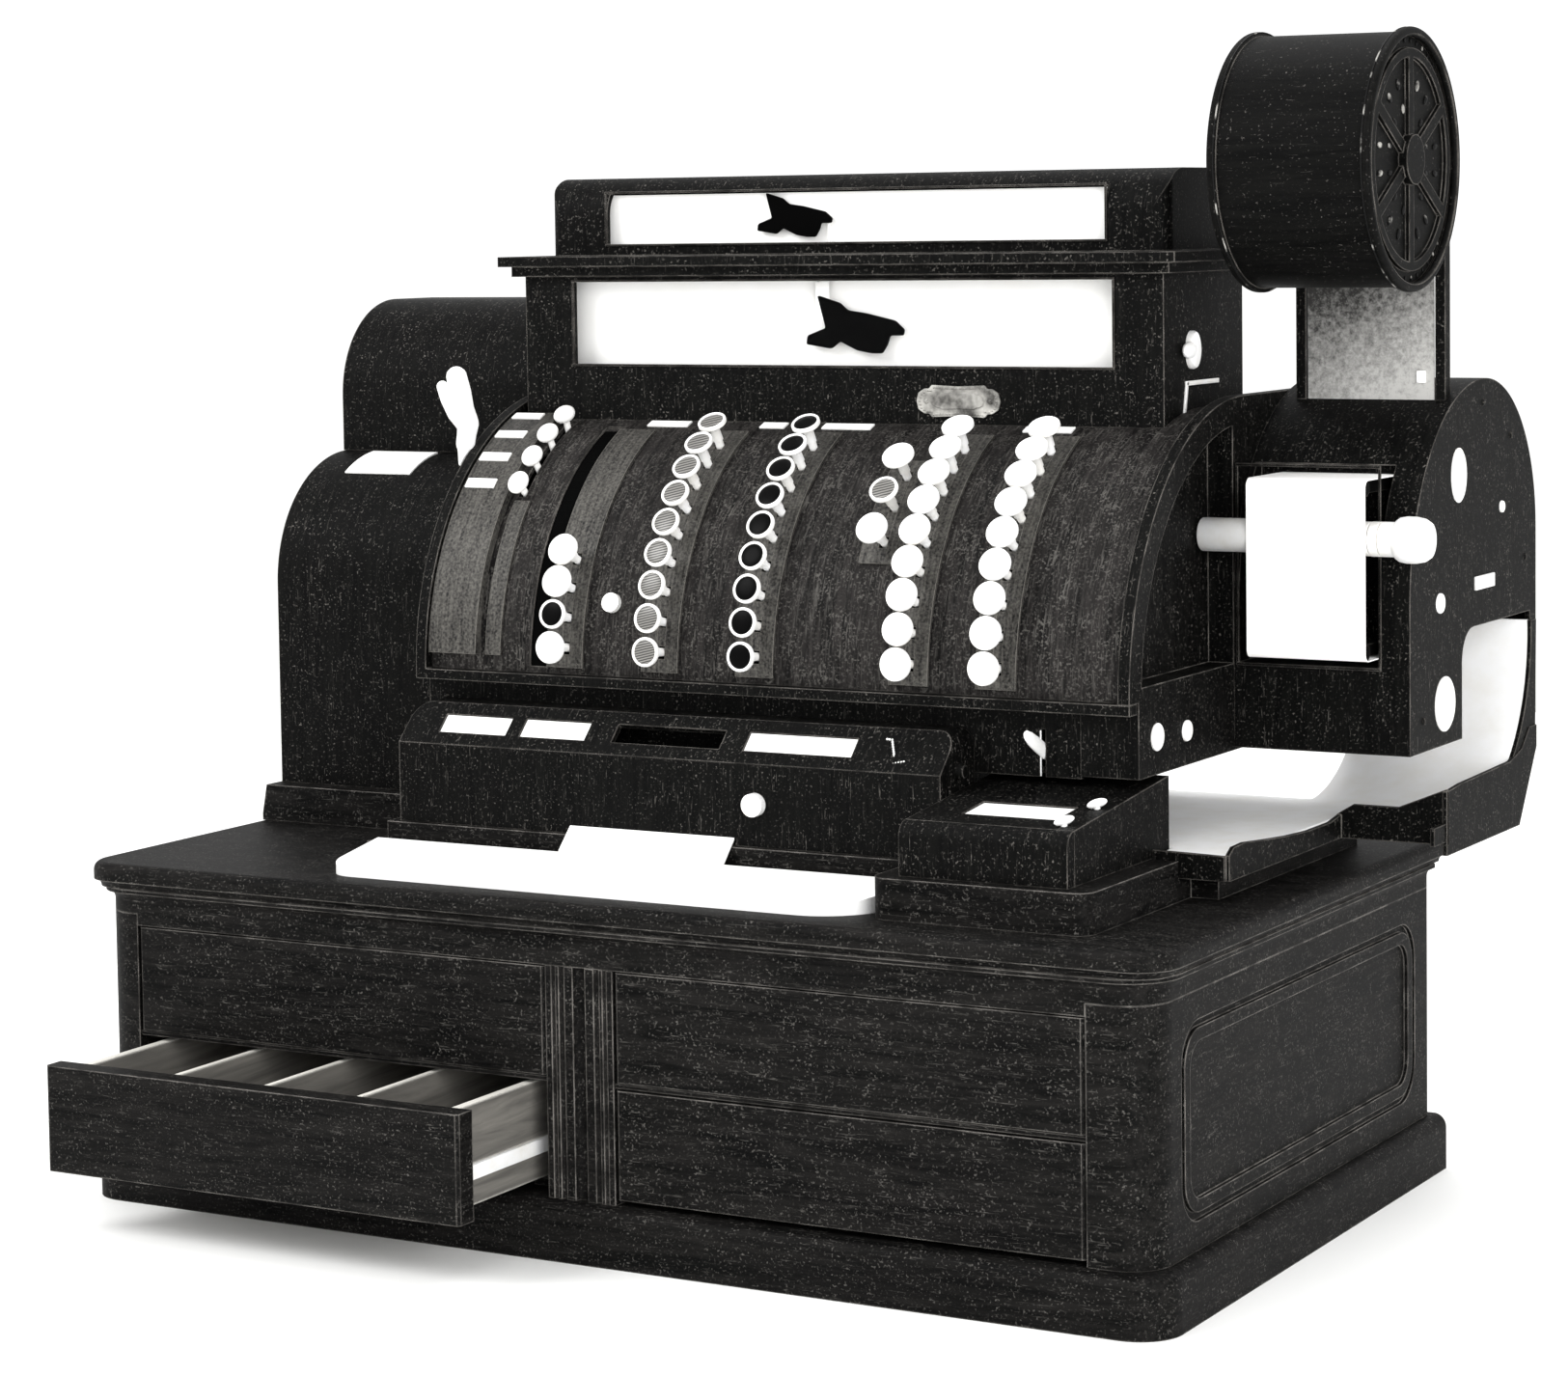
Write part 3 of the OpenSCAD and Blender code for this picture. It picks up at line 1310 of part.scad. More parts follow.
module chute() color([0.86, 0.86, 0.84]) {
    turn_x0 = side_x1 + case_t + gap;
    under_y = receipt_y1 + 2;
    block(chute_x0, chute_x1, under_y, chute_y - 55, deck_z, chute_z);
    block(side_x1 + 2, chute_x1, chute_front, under_y + eps, deck_z, chute_z);
    block(chute_x0, turn_x0 + eps, chute_y - 55 - eps, machine_back, deck_z, chute_z);
    block(turn_x0, house_x1, chute_y - 55 - eps, chute_y + eps, deck_z, chute_z);
    along_x(turn_x0, house_x1) {
        intersection() {
            translate([chute_y, chute_z + chute_r]) difference() {
                circle(chute_r + chute_t);
                circle(chute_r);
            }
            translate([chute_y, deck_z]) square(chute_r + chute_t);
        }
        translate([chute_y + chute_r, chute_z + chute_r - eps])
            square([chute_t, chute_top - chute_z - chute_r]);
    }
}

plinth();
side_panel_left();
side_panel_right();
back_panel();
drawer_framing();
centre_pilaster();
cove_moulding();
top_board();
upper_left_front();
upper_left_tray();
upper_right_front();
upper_right_tray();
lower_left_front();
lower_left_tray();
lower_right_front();
lower_right_tray();
platform();
slip_table();
slip_case();
slip_windows();
slip_lock();
receipt_box();
receipt_window();
issue_lever();
main_chassis();
keyboard_frame();
keyboard_cover();
case_side_right();
key_guides();
index_plates();
label_plates();
keyboard_lock();
control_key();
transaction_key();
hundreds_key();
tens_key();
units_key();
cents_key();
keys_white();
keys_grey();
keys_black();
left_case();
left_top_case();
hand_lever();
indicator_case();
indicator_board();
indicator_glass();
indicator_tablets();
crest_hood();
thumb_turn();
journal_case();
web_guide();
paper_web();
platen();
side_caps();
drum_posts();
drum_shell();
drum_cap();
paper_roll();
chute();
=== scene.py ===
"""A ticket register on a plain floor: mahogany drawers under a grained steel machine with nickel fittings."""

import json
import math

import bmesh
import bpy
from mathutils import Matrix, Vector


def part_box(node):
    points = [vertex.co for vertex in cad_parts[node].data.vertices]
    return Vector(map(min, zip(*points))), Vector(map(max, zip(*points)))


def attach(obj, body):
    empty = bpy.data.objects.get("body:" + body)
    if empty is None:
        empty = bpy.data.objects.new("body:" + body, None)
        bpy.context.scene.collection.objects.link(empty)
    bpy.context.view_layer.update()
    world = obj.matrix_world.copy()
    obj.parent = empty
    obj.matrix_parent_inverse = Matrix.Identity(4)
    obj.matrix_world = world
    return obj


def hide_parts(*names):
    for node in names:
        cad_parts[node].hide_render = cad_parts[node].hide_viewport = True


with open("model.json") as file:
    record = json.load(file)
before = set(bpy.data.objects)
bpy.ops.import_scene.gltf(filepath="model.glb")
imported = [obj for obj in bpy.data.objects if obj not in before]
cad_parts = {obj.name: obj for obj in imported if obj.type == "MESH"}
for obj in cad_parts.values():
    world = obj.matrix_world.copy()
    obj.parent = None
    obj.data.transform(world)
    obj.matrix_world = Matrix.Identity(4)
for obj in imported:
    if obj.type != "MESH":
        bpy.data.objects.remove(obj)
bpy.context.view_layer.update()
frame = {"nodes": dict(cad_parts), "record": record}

MM = 0.001
scene = bpy.context.scene


# ---------- places on the machine, in metres ----------

KEY_AXLE = Vector((0, 0.079, 0.356))  # the centre that the curved keyboard is struck from
COVER_R = 0.175
STRIP_R = 0.177
KEY_ANGLE = 5.9
KEY_PITCH = 6.5
KEYS_IN_BANK = 9
KEY_FACE_R = 0.198
KEY_HEAD_R = {"white": 0.01075, "grey": 0.0098, "black": 0.0098}
KEY_TRAVEL = 0.004
STEM_END_R = COVER_R - 8 * MM  # how far in towards the axle the stems reach
BANK_X = {"transaction": -0.095, "hundreds": -0.021, "tens": 0.051, "units": 0.164, "cents": 0.226}
SHORT_BANK_X = 0.133
SHORT_BANK_ANGLE = 31.9
SHORT_BANK_PITCH = 8.5
CONTROL_X = -0.1565
CONTROL_ANGLE = 42.5
CONTROL_PITCH = 7.7
LEVER_X = -0.217
ISSUE_PIVOT = Vector((0.253, -0.060, 0.320))
TABLET_Y = 0.029
CREST_TABLET_Y = 0.0446
DRUM_AXLE = Vector((0, 0.074, 0.690))
HOUSE_RIGHT = 0.441
GRAIN_STRETCH = 12  # how much longer than wide the figure of the grain is
SMOOTH_BELOW = math.radians(40)  # faces that meet more steeply than this show an edge


# ---------- materials ----------


def linear(colour):
    """An sRGB hex colour as linear red, green, blue and alpha."""
    parts = [int(colour[i : i + 2], 16) / 255 for i in (1, 3, 5)]
    return tuple(c / 12.92 if c <= 0.04045 else ((c + 0.055) / 1.055) ** 2.4 for c in parts) + (1.0,)


def add(mat, kind, inputs=None, **settings):
    """Adds a shader node, sets it up and feeds its inputs with values or with other nodes' outputs."""
    node = mat.node_tree.nodes.new("ShaderNode" + kind)
    for key, value in settings.items():
        setattr(node, key, value)
    feed(mat, node, inputs or {})
    return node


def feed(mat, node, inputs):
    for key, value in inputs.items():
        if isinstance(value, bpy.types.NodeSocket):
            mat.node_tree.links.new(value, node.inputs[key])
        else:
            node.inputs[key].default_value = value


def surface(name, **inputs):
    """A new material and its Principled shader, with constants set on the shader's own sockets."""
    mat = bpy.data.materials.new(name)
    mat.use_nodes = True
    shader = mat.node_tree.nodes["Principled BSDF"]
    feed(mat, shader, {key.replace("_", " "): value for key, value in inputs.items()})
    return mat, shader


def here(mat):
    return add(mat, "TexCoord").outputs["Object"]


def noise(mat, at, scale, detail, **inputs):
    """Cloudy noise, with any further settings given by the names of their sockets."""
    inputs = {key.title(): value for key, value in inputs.items()}
    return add(mat, "TexNoise", {"Vector": at, "Scale": scale, "Detail": detail, **inputs}).outputs["Fac"]


def ramp(mat, value, low, high, start=0.0, end=1.0):
    """A value carried over from one range to another, and held at the ends."""
    inputs = {"Value": value, "From Min": low, "From Max": high, "To Min": start, "To Max": end}
    return add(mat, "MapRange", inputs).outputs["Result"]


def blend(mat, share, first, second):
    """Two colours mixed, each an sRGB hex string or another node's output."""
    first, second = [linear(tone) if isinstance(tone, str) else tone for tone in (first, second)]
    return add(mat, "MixRGB", {"Fac": share, "Color1": first, "Color2": second}).outputs["Color"]


def calc(mat, operation, first, second, **settings):
    return add(mat, "Math", {0: first, 1: second}, operation=operation, **settings).outputs[0]


def bump(mat, height, strength, depth, **normal):
    """A fine relief, laid over the rounded edges where their normal is given."""
    inputs = {"Height": height, "Strength": strength, "Distance": depth}
    inputs |= {key.title(): value for key, value in normal.items()}
    return add(mat, "Bump", inputs).outputs["Normal"]


def grain_place(mat, run):
    """Coordinates drawn out along the grain: "round" the cabinet, or "over" a case from front to back."""
    place, fine = here(mat), GRAIN_STRETCH
    normal = add(mat, "NewGeometry").outputs["Normal"]
    sideways = add(mat, "SeparateXYZ", {0: normal}).outputs["X"]
    side = add(mat, "Math", {0: sideways}, operation="ABSOLUTE").outputs[0]
    front_scale, side_scale = {
        "round": ((1, fine, fine), (fine, 1, fine)),
        "over": ((fine, 1, 1), (1, fine, 1)),
    }[run]
    front = add(mat, "Mapping", {"Vector": place, "Scale": front_scale}).outputs["Vector"]
    turned_side = add(mat, "Mapping", {"Vector": place, "Scale": side_scale}).outputs["Vector"]
    return blend(mat, calc(mat, "GREATER_THAN", side, 0.75), front, turned_side)


def soft_edges(mat, radius):
    """The rounded normal of the arrises, and a mask that is 1 on them, used to paint edges lighter both as
    wear and as a painted edge highlight.
    """
    rounded = add(mat, "Bevel", {"Radius": radius}, samples=4).outputs["Normal"]
    flat = add(mat, "NewGeometry").outputs["Normal"]
    agree = add(mat, "VectorMath", {0: rounded, 1: flat}, operation="DOT_PRODUCT").outputs["Value"]
    return rounded, ramp(mat, agree, 0.995, 0.80)


def grained(name, run, tones, bare, figure_mm, pore_mm):
    """Ebonised mahogany, or steel grained to match it: near black, with streaks and dusty pores, and lighter
    edges that are partly wear and partly a painted highlight.

    The four tones are deep, body, fleck and the lighter edge tone, which stands for wear and for a painted
    highlight along the edges. Flecks show where the noises pass the bare level.
    """
    deep, body, light, wear_and_lit_edge_tone = tones
    mat, shader = surface(name, Specular_IOR_Level=0.05)
    along, even = grain_place(mat, run), here(mat)
    figure = noise(mat, along, 1 / (GRAIN_STRETCH * figure_mm * MM), 5, roughness=0.6, distortion=0.8)
    pores = noise(mat, along, 1 / (GRAIN_STRETCH * pore_mm * MM), 4, roughness=0.7)
    specks = noise(mat, even, 1 / (1.7 * MM), 2)
    clouds = noise(mat, even, 1 / (16 * MM), 3)
    dusty = bare + 0.13
    dust = calc(mat, "MAXIMUM", ramp(mat, pores, bare, dusty), ramp(mat, specks, bare, dusty))
    patchy = ramp(mat, clouds, 0.36, 0.62, 0.25, 1.0)
    base = blend(mat, ramp(mat, figure, 0.36, 0.66), deep, body)
    flecked = blend(mat, calc(mat, "MULTIPLY", dust, patchy), base, light)
    rounded, wear_and_edge_highlight = soft_edges(mat, 1.4 * MM)
    # Edges painted in the lighter edge tone, in cloudy spots: partly wear, partly a painted edge highlight.
    colour = blend(mat, calc(mat, "MULTIPLY", wear_and_edge_highlight, patchy), flecked, wear_and_lit_edge_tone)
    dull = ramp(mat, figure, 0, 1, 0.5, 0.65)
    relief = bump(mat, pores, 0.2, 0.3 * MM, normal=rounded)
    feed(mat, shader, {"Base Color": colour, "Roughness": dull, "Normal": relief})
    return mat


def planed_wood():
    """Plain planed tulipwood of the drawer insides: grey and dry, with rims and upward faces painted pale,
    partly wear on the rims and partly a painted highlight from the light above.
    """
    mat, shader = surface("planed_tulipwood", IOR=1.5, Roughness=0.72)
    along = grain_place(mat, "round")
    figure = noise(mat, along, 7, 5, roughness=0.6, distortion=1.0)
    fibre = noise(mat, along, 60, 3)
    clean = blend(mat, ramp(mat, figure, 0.3, 0.7), "#454340", "#75726c")
    rounded, wear_and_edge_highlight = soft_edges(mat, 2.6 * MM)
    upward = add(mat, "SeparateXYZ", {0: add(mat, "NewGeometry").outputs["Normal"]}).outputs["Z"]
    # Upward faces painted pale: a painted highlight for the light from above on rims, dividers and floors.
    painted_top_light = ramp(mat, upward, 0.6, 0.9, 0, 0.75)
    colour = blend(mat, calc(mat, "MAXIMUM", wear_and_edge_highlight, painted_top_light), clean, "#e3e0d8")
    feed(mat, shader, {"Base Color": colour, "Normal": bump(mat, fibre, 0.3, 0.3 * MM, normal=rounded)})
    return mat


def plated_metal(name, bright, dull, rough, brush_mm, metallic):
    """Nickel-plated metal, buffed by hand: fine crossing scratches and a cloudy sheen."""
    mat, shader = surface(name, Metallic=metallic)
    place, stretch = here(mat), 6
    drawn = add(mat, "Mapping", {"Vector": place, "Scale": (1, stretch, stretch)}).outputs["Vector"]
    scratch = noise(mat, drawn, 1 / (stretch * brush_mm * MM), 3)
    cloud = noise(mat, place, 40, 4, roughness=0.6)
    colour = blend(mat, ramp(mat, cloud, 0.35, 0.6), dull, bright)
    haze = ramp(mat, cloud, 0, 1, rough + 0.08, rough - 0.05)
    rounded, _ = soft_edges(mat, 0.6 * MM)
    relief = bump(mat, scratch, 0.08, 0.1 * MM, normal=rounded)
    feed(mat, shader, {"Base Color": colour, "Roughness": haze, "Normal": relief})
    return mat


def stove_enamel(name, clean, stained, rough, gloss):
    """Smooth fired enamel: a soft gloss, with faint waviness and a few darker specks under the glaze."""
    mat, shader = surface(name, Roughness=rough, Specular_IOR_Level=gloss)
    place = here(mat)
    wave = noise(mat, place, 30, 2)
    cells = add(mat, "TexVoronoi", {"Vector": place, "Scale": 160}).outputs["Distance"]
    faint = calc(mat, "MULTIPLY", ramp(mat, cells, 0.12, 0.06), 0.35)
    colour = blend(mat, faint, blend(mat, wave, stained, clean), stained)
    rounded, _ = soft_edges(mat, 0.5 * MM)
    feed(mat, shader, {"Base Color": colour, "Normal": bump(mat, wave, 0.05, 0.5 * MM, normal=rounded)})
    return mat


def pressed_relief():
    """Pressed leafwork under black enamel, with bright spots here and there painted in as glints."""
    mat, shader = surface("painted_glint_leafwork", Roughness=0.5, Specular_IOR_Level=0.12)
    glint_spots = noise(mat, here(mat), 1 / (14 * MM), 4)
    # Bright spots are painted glints on the black enamel.
    feed(mat, shader, {"Base Color": blend(mat, ramp(mat, glint_spots, 0.56, 0.66), "#070707", "#9b9994")})
    return mat


def bank_strip_metal():
    """Grey oxidised zinc of the bank strips: streaked along the bank, with lighter edges that stand partly
    for wear and partly for a painted edge highlight.
    """
    mat, shader = surface("oxidised_zinc", Metallic=0.1, Specular_IOR_Level=0.15, Roughness=0.48)
    place = here(mat)
    drawn = add(mat, "Mapping", {"Vector": place, "Scale": (14, 1, 1)}).outputs["Vector"]
    streak = noise(mat, drawn, 28, 6, roughness=0.7)
    fleck = noise(mat, drawn, 120, 3)
    mixed = blend(mat, 0.5, streak, noise(mat, place, 1 / (1.8 * MM), 3))
    base = blend(mat, ramp(mat, mixed, 0.38, 0.62), "#121111", "#54524e")
    rounded, wear_and_edge_highlight = soft_edges(mat, 0.8 * MM)
    # Edges painted lighter: wear, and a painted edge highlight.
    colour = blend(mat, wear_and_edge_highlight, base, "#7d7a74")
    feed(mat, shader, {"Base Color": colour, "Normal": bump(mat, fleck, 0.2, 0.2 * MM, normal=rounded)})
    return mat


def ruled_celluloid():
    """Grey celluloid key faces, ruled with fine slanting lines."""
    mat, shader = surface("ruled_grey_celluloid", Roughness=0.35, IOR=1.5)
    turned = {"Vector": here(mat), "Rotation": (0, math.radians(14), 0)}
    slant = add(mat, "Mapping", turned).outputs["Vector"]
    wave = {"Vector": slant, "Scale": 190, "Distortion": 0.6, "Detail": 1}
    lines = add(mat, "TexWave", wave, bands_direction="Z").outputs["Fac"]
    feed(mat, shader, {"Base Color": blend(mat, ramp(mat, lines, 0.35, 0.65), "#242322", "#7c7a76")})
    return mat


def plain_celluloid(name, colour, other, gloss):
    """Polished celluloid under a clear face: slightly cloudy, with a low gloss."""
    mat, shader = surface(name, Roughness=0.35, Specular_IOR_Level=gloss)
    feed(mat, shader, {"Base Color": blend(mat, noise(mat, here(mat), 90, 3), other, colour)})
    return mat


def japanned_iron():
    """Cast iron under black japan: slightly orange-peeled and dusty."""
    mat, shader = surface("japanned_iron", Specular_IOR_Level=0.06, Roughness=0.45)
    place = here(mat)
    peel = noise(mat, place, 420, 3)
    dust = noise(mat, place, 26, 5, roughness=0.7)
    base = blend(mat, ramp(mat, dust, 0.5, 0.8), "#050505", "#131211")
    rounded, wear_and_edge_highlight = soft_edges(mat, 1.0 * MM)
    # Edges painted lighter: wear, and a painted edge highlight.
    colour = blend(mat, wear_and_edge_highlight, base, "#55524d")
    feed(mat, shader, {"Base Color": colour, "Normal": bump(mat, peel, 0.25, 0.2 * MM, normal=rounded)})
    return mat


def ledger_paper():
    """Wood-pulp paper: white where it faces the room, greyed by shade and copying dust behind the drum."""
    mat, shader = surface("ledger_paper", Roughness=0.85, Specular_IOR_Level=0.2)
    place = here(mat)
    fibre = noise(mat, place, 500, 4, roughness=0.7)
    mottle = noise(mat, place, 300, 4, roughness=0.75)
    at = add(mat, "SeparateXYZ", {0: place}).outputs
    behind = calc(mat, "GREATER_THAN", at["Y"], 0.12)
    shade = ramp(mat, at["Z"], 0.535, 0.635)
    # Painted shade on the web behind the drum: darker towards the top and towards the left.
    across = ramp(mat, at["X"], 0.345, 0.425, 0.3, -0.1)
    dust = ramp(mat, mottle, 0.3, 0.7, -0.35, 0.35)
    depth = calc(mat, "ADD", shade, calc(mat, "ADD", across, dust), use_clamp=True)
    colour = blend(mat, behind, "#fdfcfa", blend(mat, depth, "#b3b2af", "#343332"))
    feed(mat, shader, {"Base Color": colour, "Normal": bump(mat, fibre, 0.12, 0.1 * MM)})
    return mat


def window_glass():
    """Thin drawn window glass: almost clear, with a faint ripple in what it mirrors."""
    mat, shader = surface("drawn_glass", Roughness=0.03, IOR=1.45, Alpha=0.03)
    ripple = noise(mat, here(mat), 14, 1)
    feed(mat, shader, {"Base Color": linear("#101010"), "Normal": bump(mat, ripple, 0.05, 0.3 * MM)})
    return mat


DARK, WARM_DARK, LIT_COVER_TONES = ("#030303", "#0b0b0a"), ("#040404", "#171615"), ("#0e0d0d", "#262423")
# The last tone of each grained finish is its lighter edge tone: wear, and a painted highlight along the
# edges.
MAHOGANY = grained("ebonised_mahogany", "round", WARM_DARK + ("#4f4d4a", "#8d8984"), 0.59, 7, 1.2)
GRAINED_STEEL = grained("grained_stove_enamel", "over", DARK + ("#5e5b57", "#7b7772"), 0.61, 6, 1.1)
# A paler, more flecked copy of the grained enamel for the keyboard cover: painted light on its curved top,
# where the light falls.
LIT_COVER_STEEL = grained("lit_cover_grained_enamel", "over", LIT_COVER_TONES + ("#504e4b", "#7b7772"), 0.53, 5, 1.3)
DRUM_STEEL = grained("plain_drum_enamel", "round", DARK + ("#5a5754", "#77736e"), 0.65, 6, 1.0)
TULIPWOOD = planed_wood()
NICKEL = plated_metal("buffed_nickel_plate", "#ffffff", "#f3f1ec", 0.42, 1.2, metallic=0.25)
TINPLATE = plated_metal("satin_tinplate", "#ffffff", "#f9f8f5", 0.55, 2.0, metallic=0.05)
WHITE_ENAMEL = stove_enamel("white_stove_enamel", "#ffffff", "#f7f6f2", 0.3, 0.35)
BANK_STRIP = bank_strip_metal()
JAPAN = japanned_iron()
PAPER = ledger_paper()
GLASS = window_glass()
BLACK_SHEET = stove_enamel("matt_black_enamel", "#020202", "#040404", 0.8, 0.02)
FACE_WHITE = plain_celluloid("ivory_celluloid", "#ffffff", "#f6f4ee", 0.3)
FACE_BLACK = plain_celluloid("jet_celluloid", "#020202", "#040404", 0.04)
FACE_GREY = ruled_celluloid()
KEY_RING = plated_metal("nickel_key_cups", "#ffffff", "#f6f4ef", 0.45, 0.8, metallic=0.2)
WHITE_GRIP = plated_metal("nickel_grip_castings", "#ffffff", "#f8f7f3", 0.5, 0.8, metallic=0.1)
OLD_NICKEL = plated_metal("tarnished_nickel", "#c4c2bc", "#3b3936", 0.45, 0.8, metallic=0.2)
GLINTING_RELIEF = pressed_relief()

FINISH = {
    "mahogany": MAHOGANY,
    "drawer_wood": TULIPWOOD,
    "cabinet_enamel": GRAINED_STEEL,
    "frame_iron": JAPAN,
    "nickel": NICKEL,
    "bank_strip": BANK_STRIP,
    "white_enamel": WHITE_ENAMEL,
    "window_glass": GLASS,
    "tablet_black": BLACK_SHEET,
    "key_white": FACE_WHITE,
    "key_grey": FACE_GREY,
    "key_black": FACE_BLACK,
    "paper": PAPER,
}
SPECIAL = {
    "slip_table": TINPLATE,
    "chute": TINPLATE,
    "drawer_framing": MAHOGANY,
    "keyboard_cover": LIT_COVER_STEEL,
    "main_chassis": GRAINED_STEEL,
    "drum_shell": DRUM_STEEL,
    "drum_cap": DRUM_STEEL,
}


def dress_cad():
    """Gives every node of the frame the finish of its slot."""
    for part in frame["record"]["subparts"]:
        node = frame["nodes"][part["node"]]
        mat = SPECIAL.get(part["node"], FINISH[part["material_slot"]])
        if not node.data.materials:
            node.data.materials.append(mat)
        for slot in node.material_slots:
            slot.material = mat


# ---------- making pieces ----------


def added(bm, before):
    return [v for v in bm.verts if v not in before]


def turn(bm, profile, place, steps=32):
    """Spins (radius, height) points about Z and puts the turned shape in place."""
    before = set(bm.verts)
    line = [bm.verts.new((r, 0, h)) for r, h in profile]
    edges = [bm.edges.new(pair) for pair in zip(line, line[1:])]
    bmesh.ops.spin(
        bm, geom=line + edges, cent=(0, 0, 0), axis=(0, 0, 1), dvec=(0, 0, 0),
        angle=math.tau, steps=steps, use_merge=True,
    )
    bmesh.ops.remove_doubles(bm, verts=added(bm, before), dist=0.02 * MM)
    bmesh.ops.transform(bm, matrix=place, verts=added(bm, before))


def slab(bm, low, high, edge=0.0, place=Matrix()):
    """A block between two corners, with its edges rounded, put in place."""
    before = set(bm.verts)
    bmesh.ops.create_cube(bm, size=1)
    low, high = Vector(low), Vector(high)
    made = added(bm, before)
    bmesh.ops.scale(bm, vec=high - low, verts=made)
    bmesh.ops.translate(bm, vec=(low + high) / 2, verts=made)
    if edge:
        edges = list({e for v in made for e in v.link_edges})
        bmesh.ops.bevel(bm, geom=edges, offset=edge, segments=2, profile=0.5, affect="EDGES", material=-1)
    bmesh.ops.transform(bm, matrix=place, verts=added(bm, before))


def cut_out(bm, outline, thickness, corner=0.0, place=Matrix()):
    """Sheet cut to an outline in X and Z, its corners rounded, standing from Y 0 back to its thickness."""
    before = set(bm.verts)
    face = bm.faces.new([bm.verts.new((x, 0, z)) for x, z in outline])
    if corner:
        bmesh.ops.bevel(
            bm, geom=list(face.verts), offset=corner, segments=4, profile=0.5, affect="VERTICES", material=-1,
        )
    faces = [f for f in bm.faces if all(v not in before for v in f.verts)]
    grown = bmesh.ops.extrude_face_region(bm, geom=faces)
    moved = [g for g in grown["geom"] if isinstance(g, bmesh.types.BMVert)]
    bmesh.ops.translate(bm, vec=(0, thickness, 0), verts=moved)
    bmesh.ops.transform(bm, matrix=place, verts=added(bm, before))


def make(name, bm, body, mat, stands_for=()):
    """Turns the mesh into a piece that rides on a body."""
    bmesh.ops.recalc_face_normals(bm, faces=bm.faces)
    mesh = bpy.data.meshes.new(name)
    bm.to_mesh(mesh)
    bm.free()
    mesh.materials.append(mat)
    mesh.shade_smooth()
    mesh.set_sharp_from_angle(angle=SMOOTH_BELOW)
    piece = bpy.data.objects.new(name, mesh)
    scene.collection.objects.link(piece)
    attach(piece, body)
    if stands_for:
        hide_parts(*stands_for)
    return piece


def facing(direction, at):
    """A place whose Z points in a direction."""
    return Matrix.Translation(at) @ Vector(direction).to_track_quat("Z", "Y").to_matrix().to_4x4()


def on_keyboard(x, angle):
    """A place on the keyboard's axle whose Z points out of the cover at that angle."""
    a = math.radians(angle)
    return facing((0, -math.cos(a), math.sin(a)), (x, KEY_AXLE.y, KEY_AXLE.z))


# ---------- keys ----------


def key_cup(bm, head, place):
    """The bright cup of a key's face, on a collar that stops where the pressed key meets its strip."""
    face, lip, collar, stem = KEY_FACE_R, 1.8 * MM, 3.5 * MM, 2.8 * MM
    profile = [
        (0, face - 1.2 * MM),
        (head - lip, face - 1.2 * MM),
        (head - lip, face - 0.5 * MM),
        (head - lip * 0.7, face),
        (head - lip * 0.3, face),
        (head, face - 0.6 * MM),
        (head, face - 2.8 * MM),
        (head - 0.8 * MM, face - 3.6 * MM),
        (collar + 1.2 * MM, face - 4.4 * MM),
        (collar, face - 6.0 * MM),
        (collar, STRIP_R + KEY_TRAVEL + 0.8 * MM),
        (stem, STRIP_R + KEY_TRAVEL + 0.4 * MM),
        (stem, STEM_END_R),
        (0, STEM_END_R),
    ]
    turn(bm, profile, place)


def key_disc(bm, head, place):
    """The key's own face, slightly domed, set in the cup."""
    face, r = KEY_FACE_R, head - 1.8 * MM
    outline = [(0, 0.1), (r * 0.5, 0.25), (r * 0.9, 0.6), (r, 0.9), (r, 1.6), (0, 1.6)]
    turn(bm, [(out, face - depth * MM) for out, depth in outline], place)


def control_button(bm, place):
    """An egg-shaped white button on a short stem, as close to the cover as its travel allows."""
    half_wide, half_long, half_high = 7.2 * MM, 8.8 * MM, 5.6 * MM
    centre = COVER_R + KEY_TRAVEL + 0.4 * MM + half_high
    steps = [math.radians(90 - 15 * i) for i in range(13)]
    profile = [(max(0, math.cos(a)), centre + half_high * math.sin(a)) for a in steps[:-1]]
    profile += [(0.3, centre - half_high * 0.96), (0.3, STEM_END_R), (0, STEM_END_R)]
    turn(bm, profile, place @ Matrix.Diagonal((half_wide, half_long, 1, 1)), 28)


def bank_angle(n):
    return KEY_ANGLE + (n - 1) * KEY_PITCH


def bank(x, numbers):
    return [on_keyboard(BANK_X[x], bank_angle(n)) for n in numbers]


def control_place(n):
    return on_keyboard(CONTROL_X, CONTROL_ANGLE + (n - 1) * CONTROL_PITCH)


def short_bank(numbers):
    return [on_keyboard(SHORT_BANK_X, SHORT_BANK_ANGLE + n * SHORT_BANK_PITCH) for n in numbers]


def add_keys():
    upper = range(2, KEYS_IN_BANK + 1)
    groups = {
        "transaction_key": ("transaction_key", "white", bank("transaction", [1])),
        "hundreds_key": ("hundreds_key", "grey", bank("hundreds", [1])),
        "tens_key": ("tens_key", "black", bank("tens", [1])),
        "units_key": ("units_key", "white", bank("units", [1])),
        "cents_key": ("cents_key", "white", bank("cents", [1])),
        "keys_white": (
            "case",
            "white",
            bank("transaction", [3, 4]) + bank("units", upper) + bank("cents", upper) + short_bank([0, 2]),
        ),
        "keys_grey": ("case", "grey", bank("hundreds", upper) + short_bank([1])),
        "keys_black": ("case", "black", bank("tens", upper) + bank("transaction", [2])),
    }
    for node, (body, colour, places) in groups.items():
        cups, discs = bmesh.new(), bmesh.new()
        for place in places:
            key_cup(cups, KEY_HEAD_R[colour], place)
            key_disc(discs, KEY_HEAD_R[colour], place)
        make(node + "_cups", cups, body, KEY_RING, stands_for=[node])
        make(node + "_faces", discs, body, FINISH["key_" + colour])
    for name, body, numbers, stands_for in (
        ("control_key_button", "control_key", [1], ["control_key"]),
        ("control_buttons", "case", [2, 3, 4], []),
    ):
        bm = bmesh.new()
        for n in numbers:
            control_button(bm, control_place(n))
        make(name, bm, body, FACE_WHITE, stands_for=stands_for)


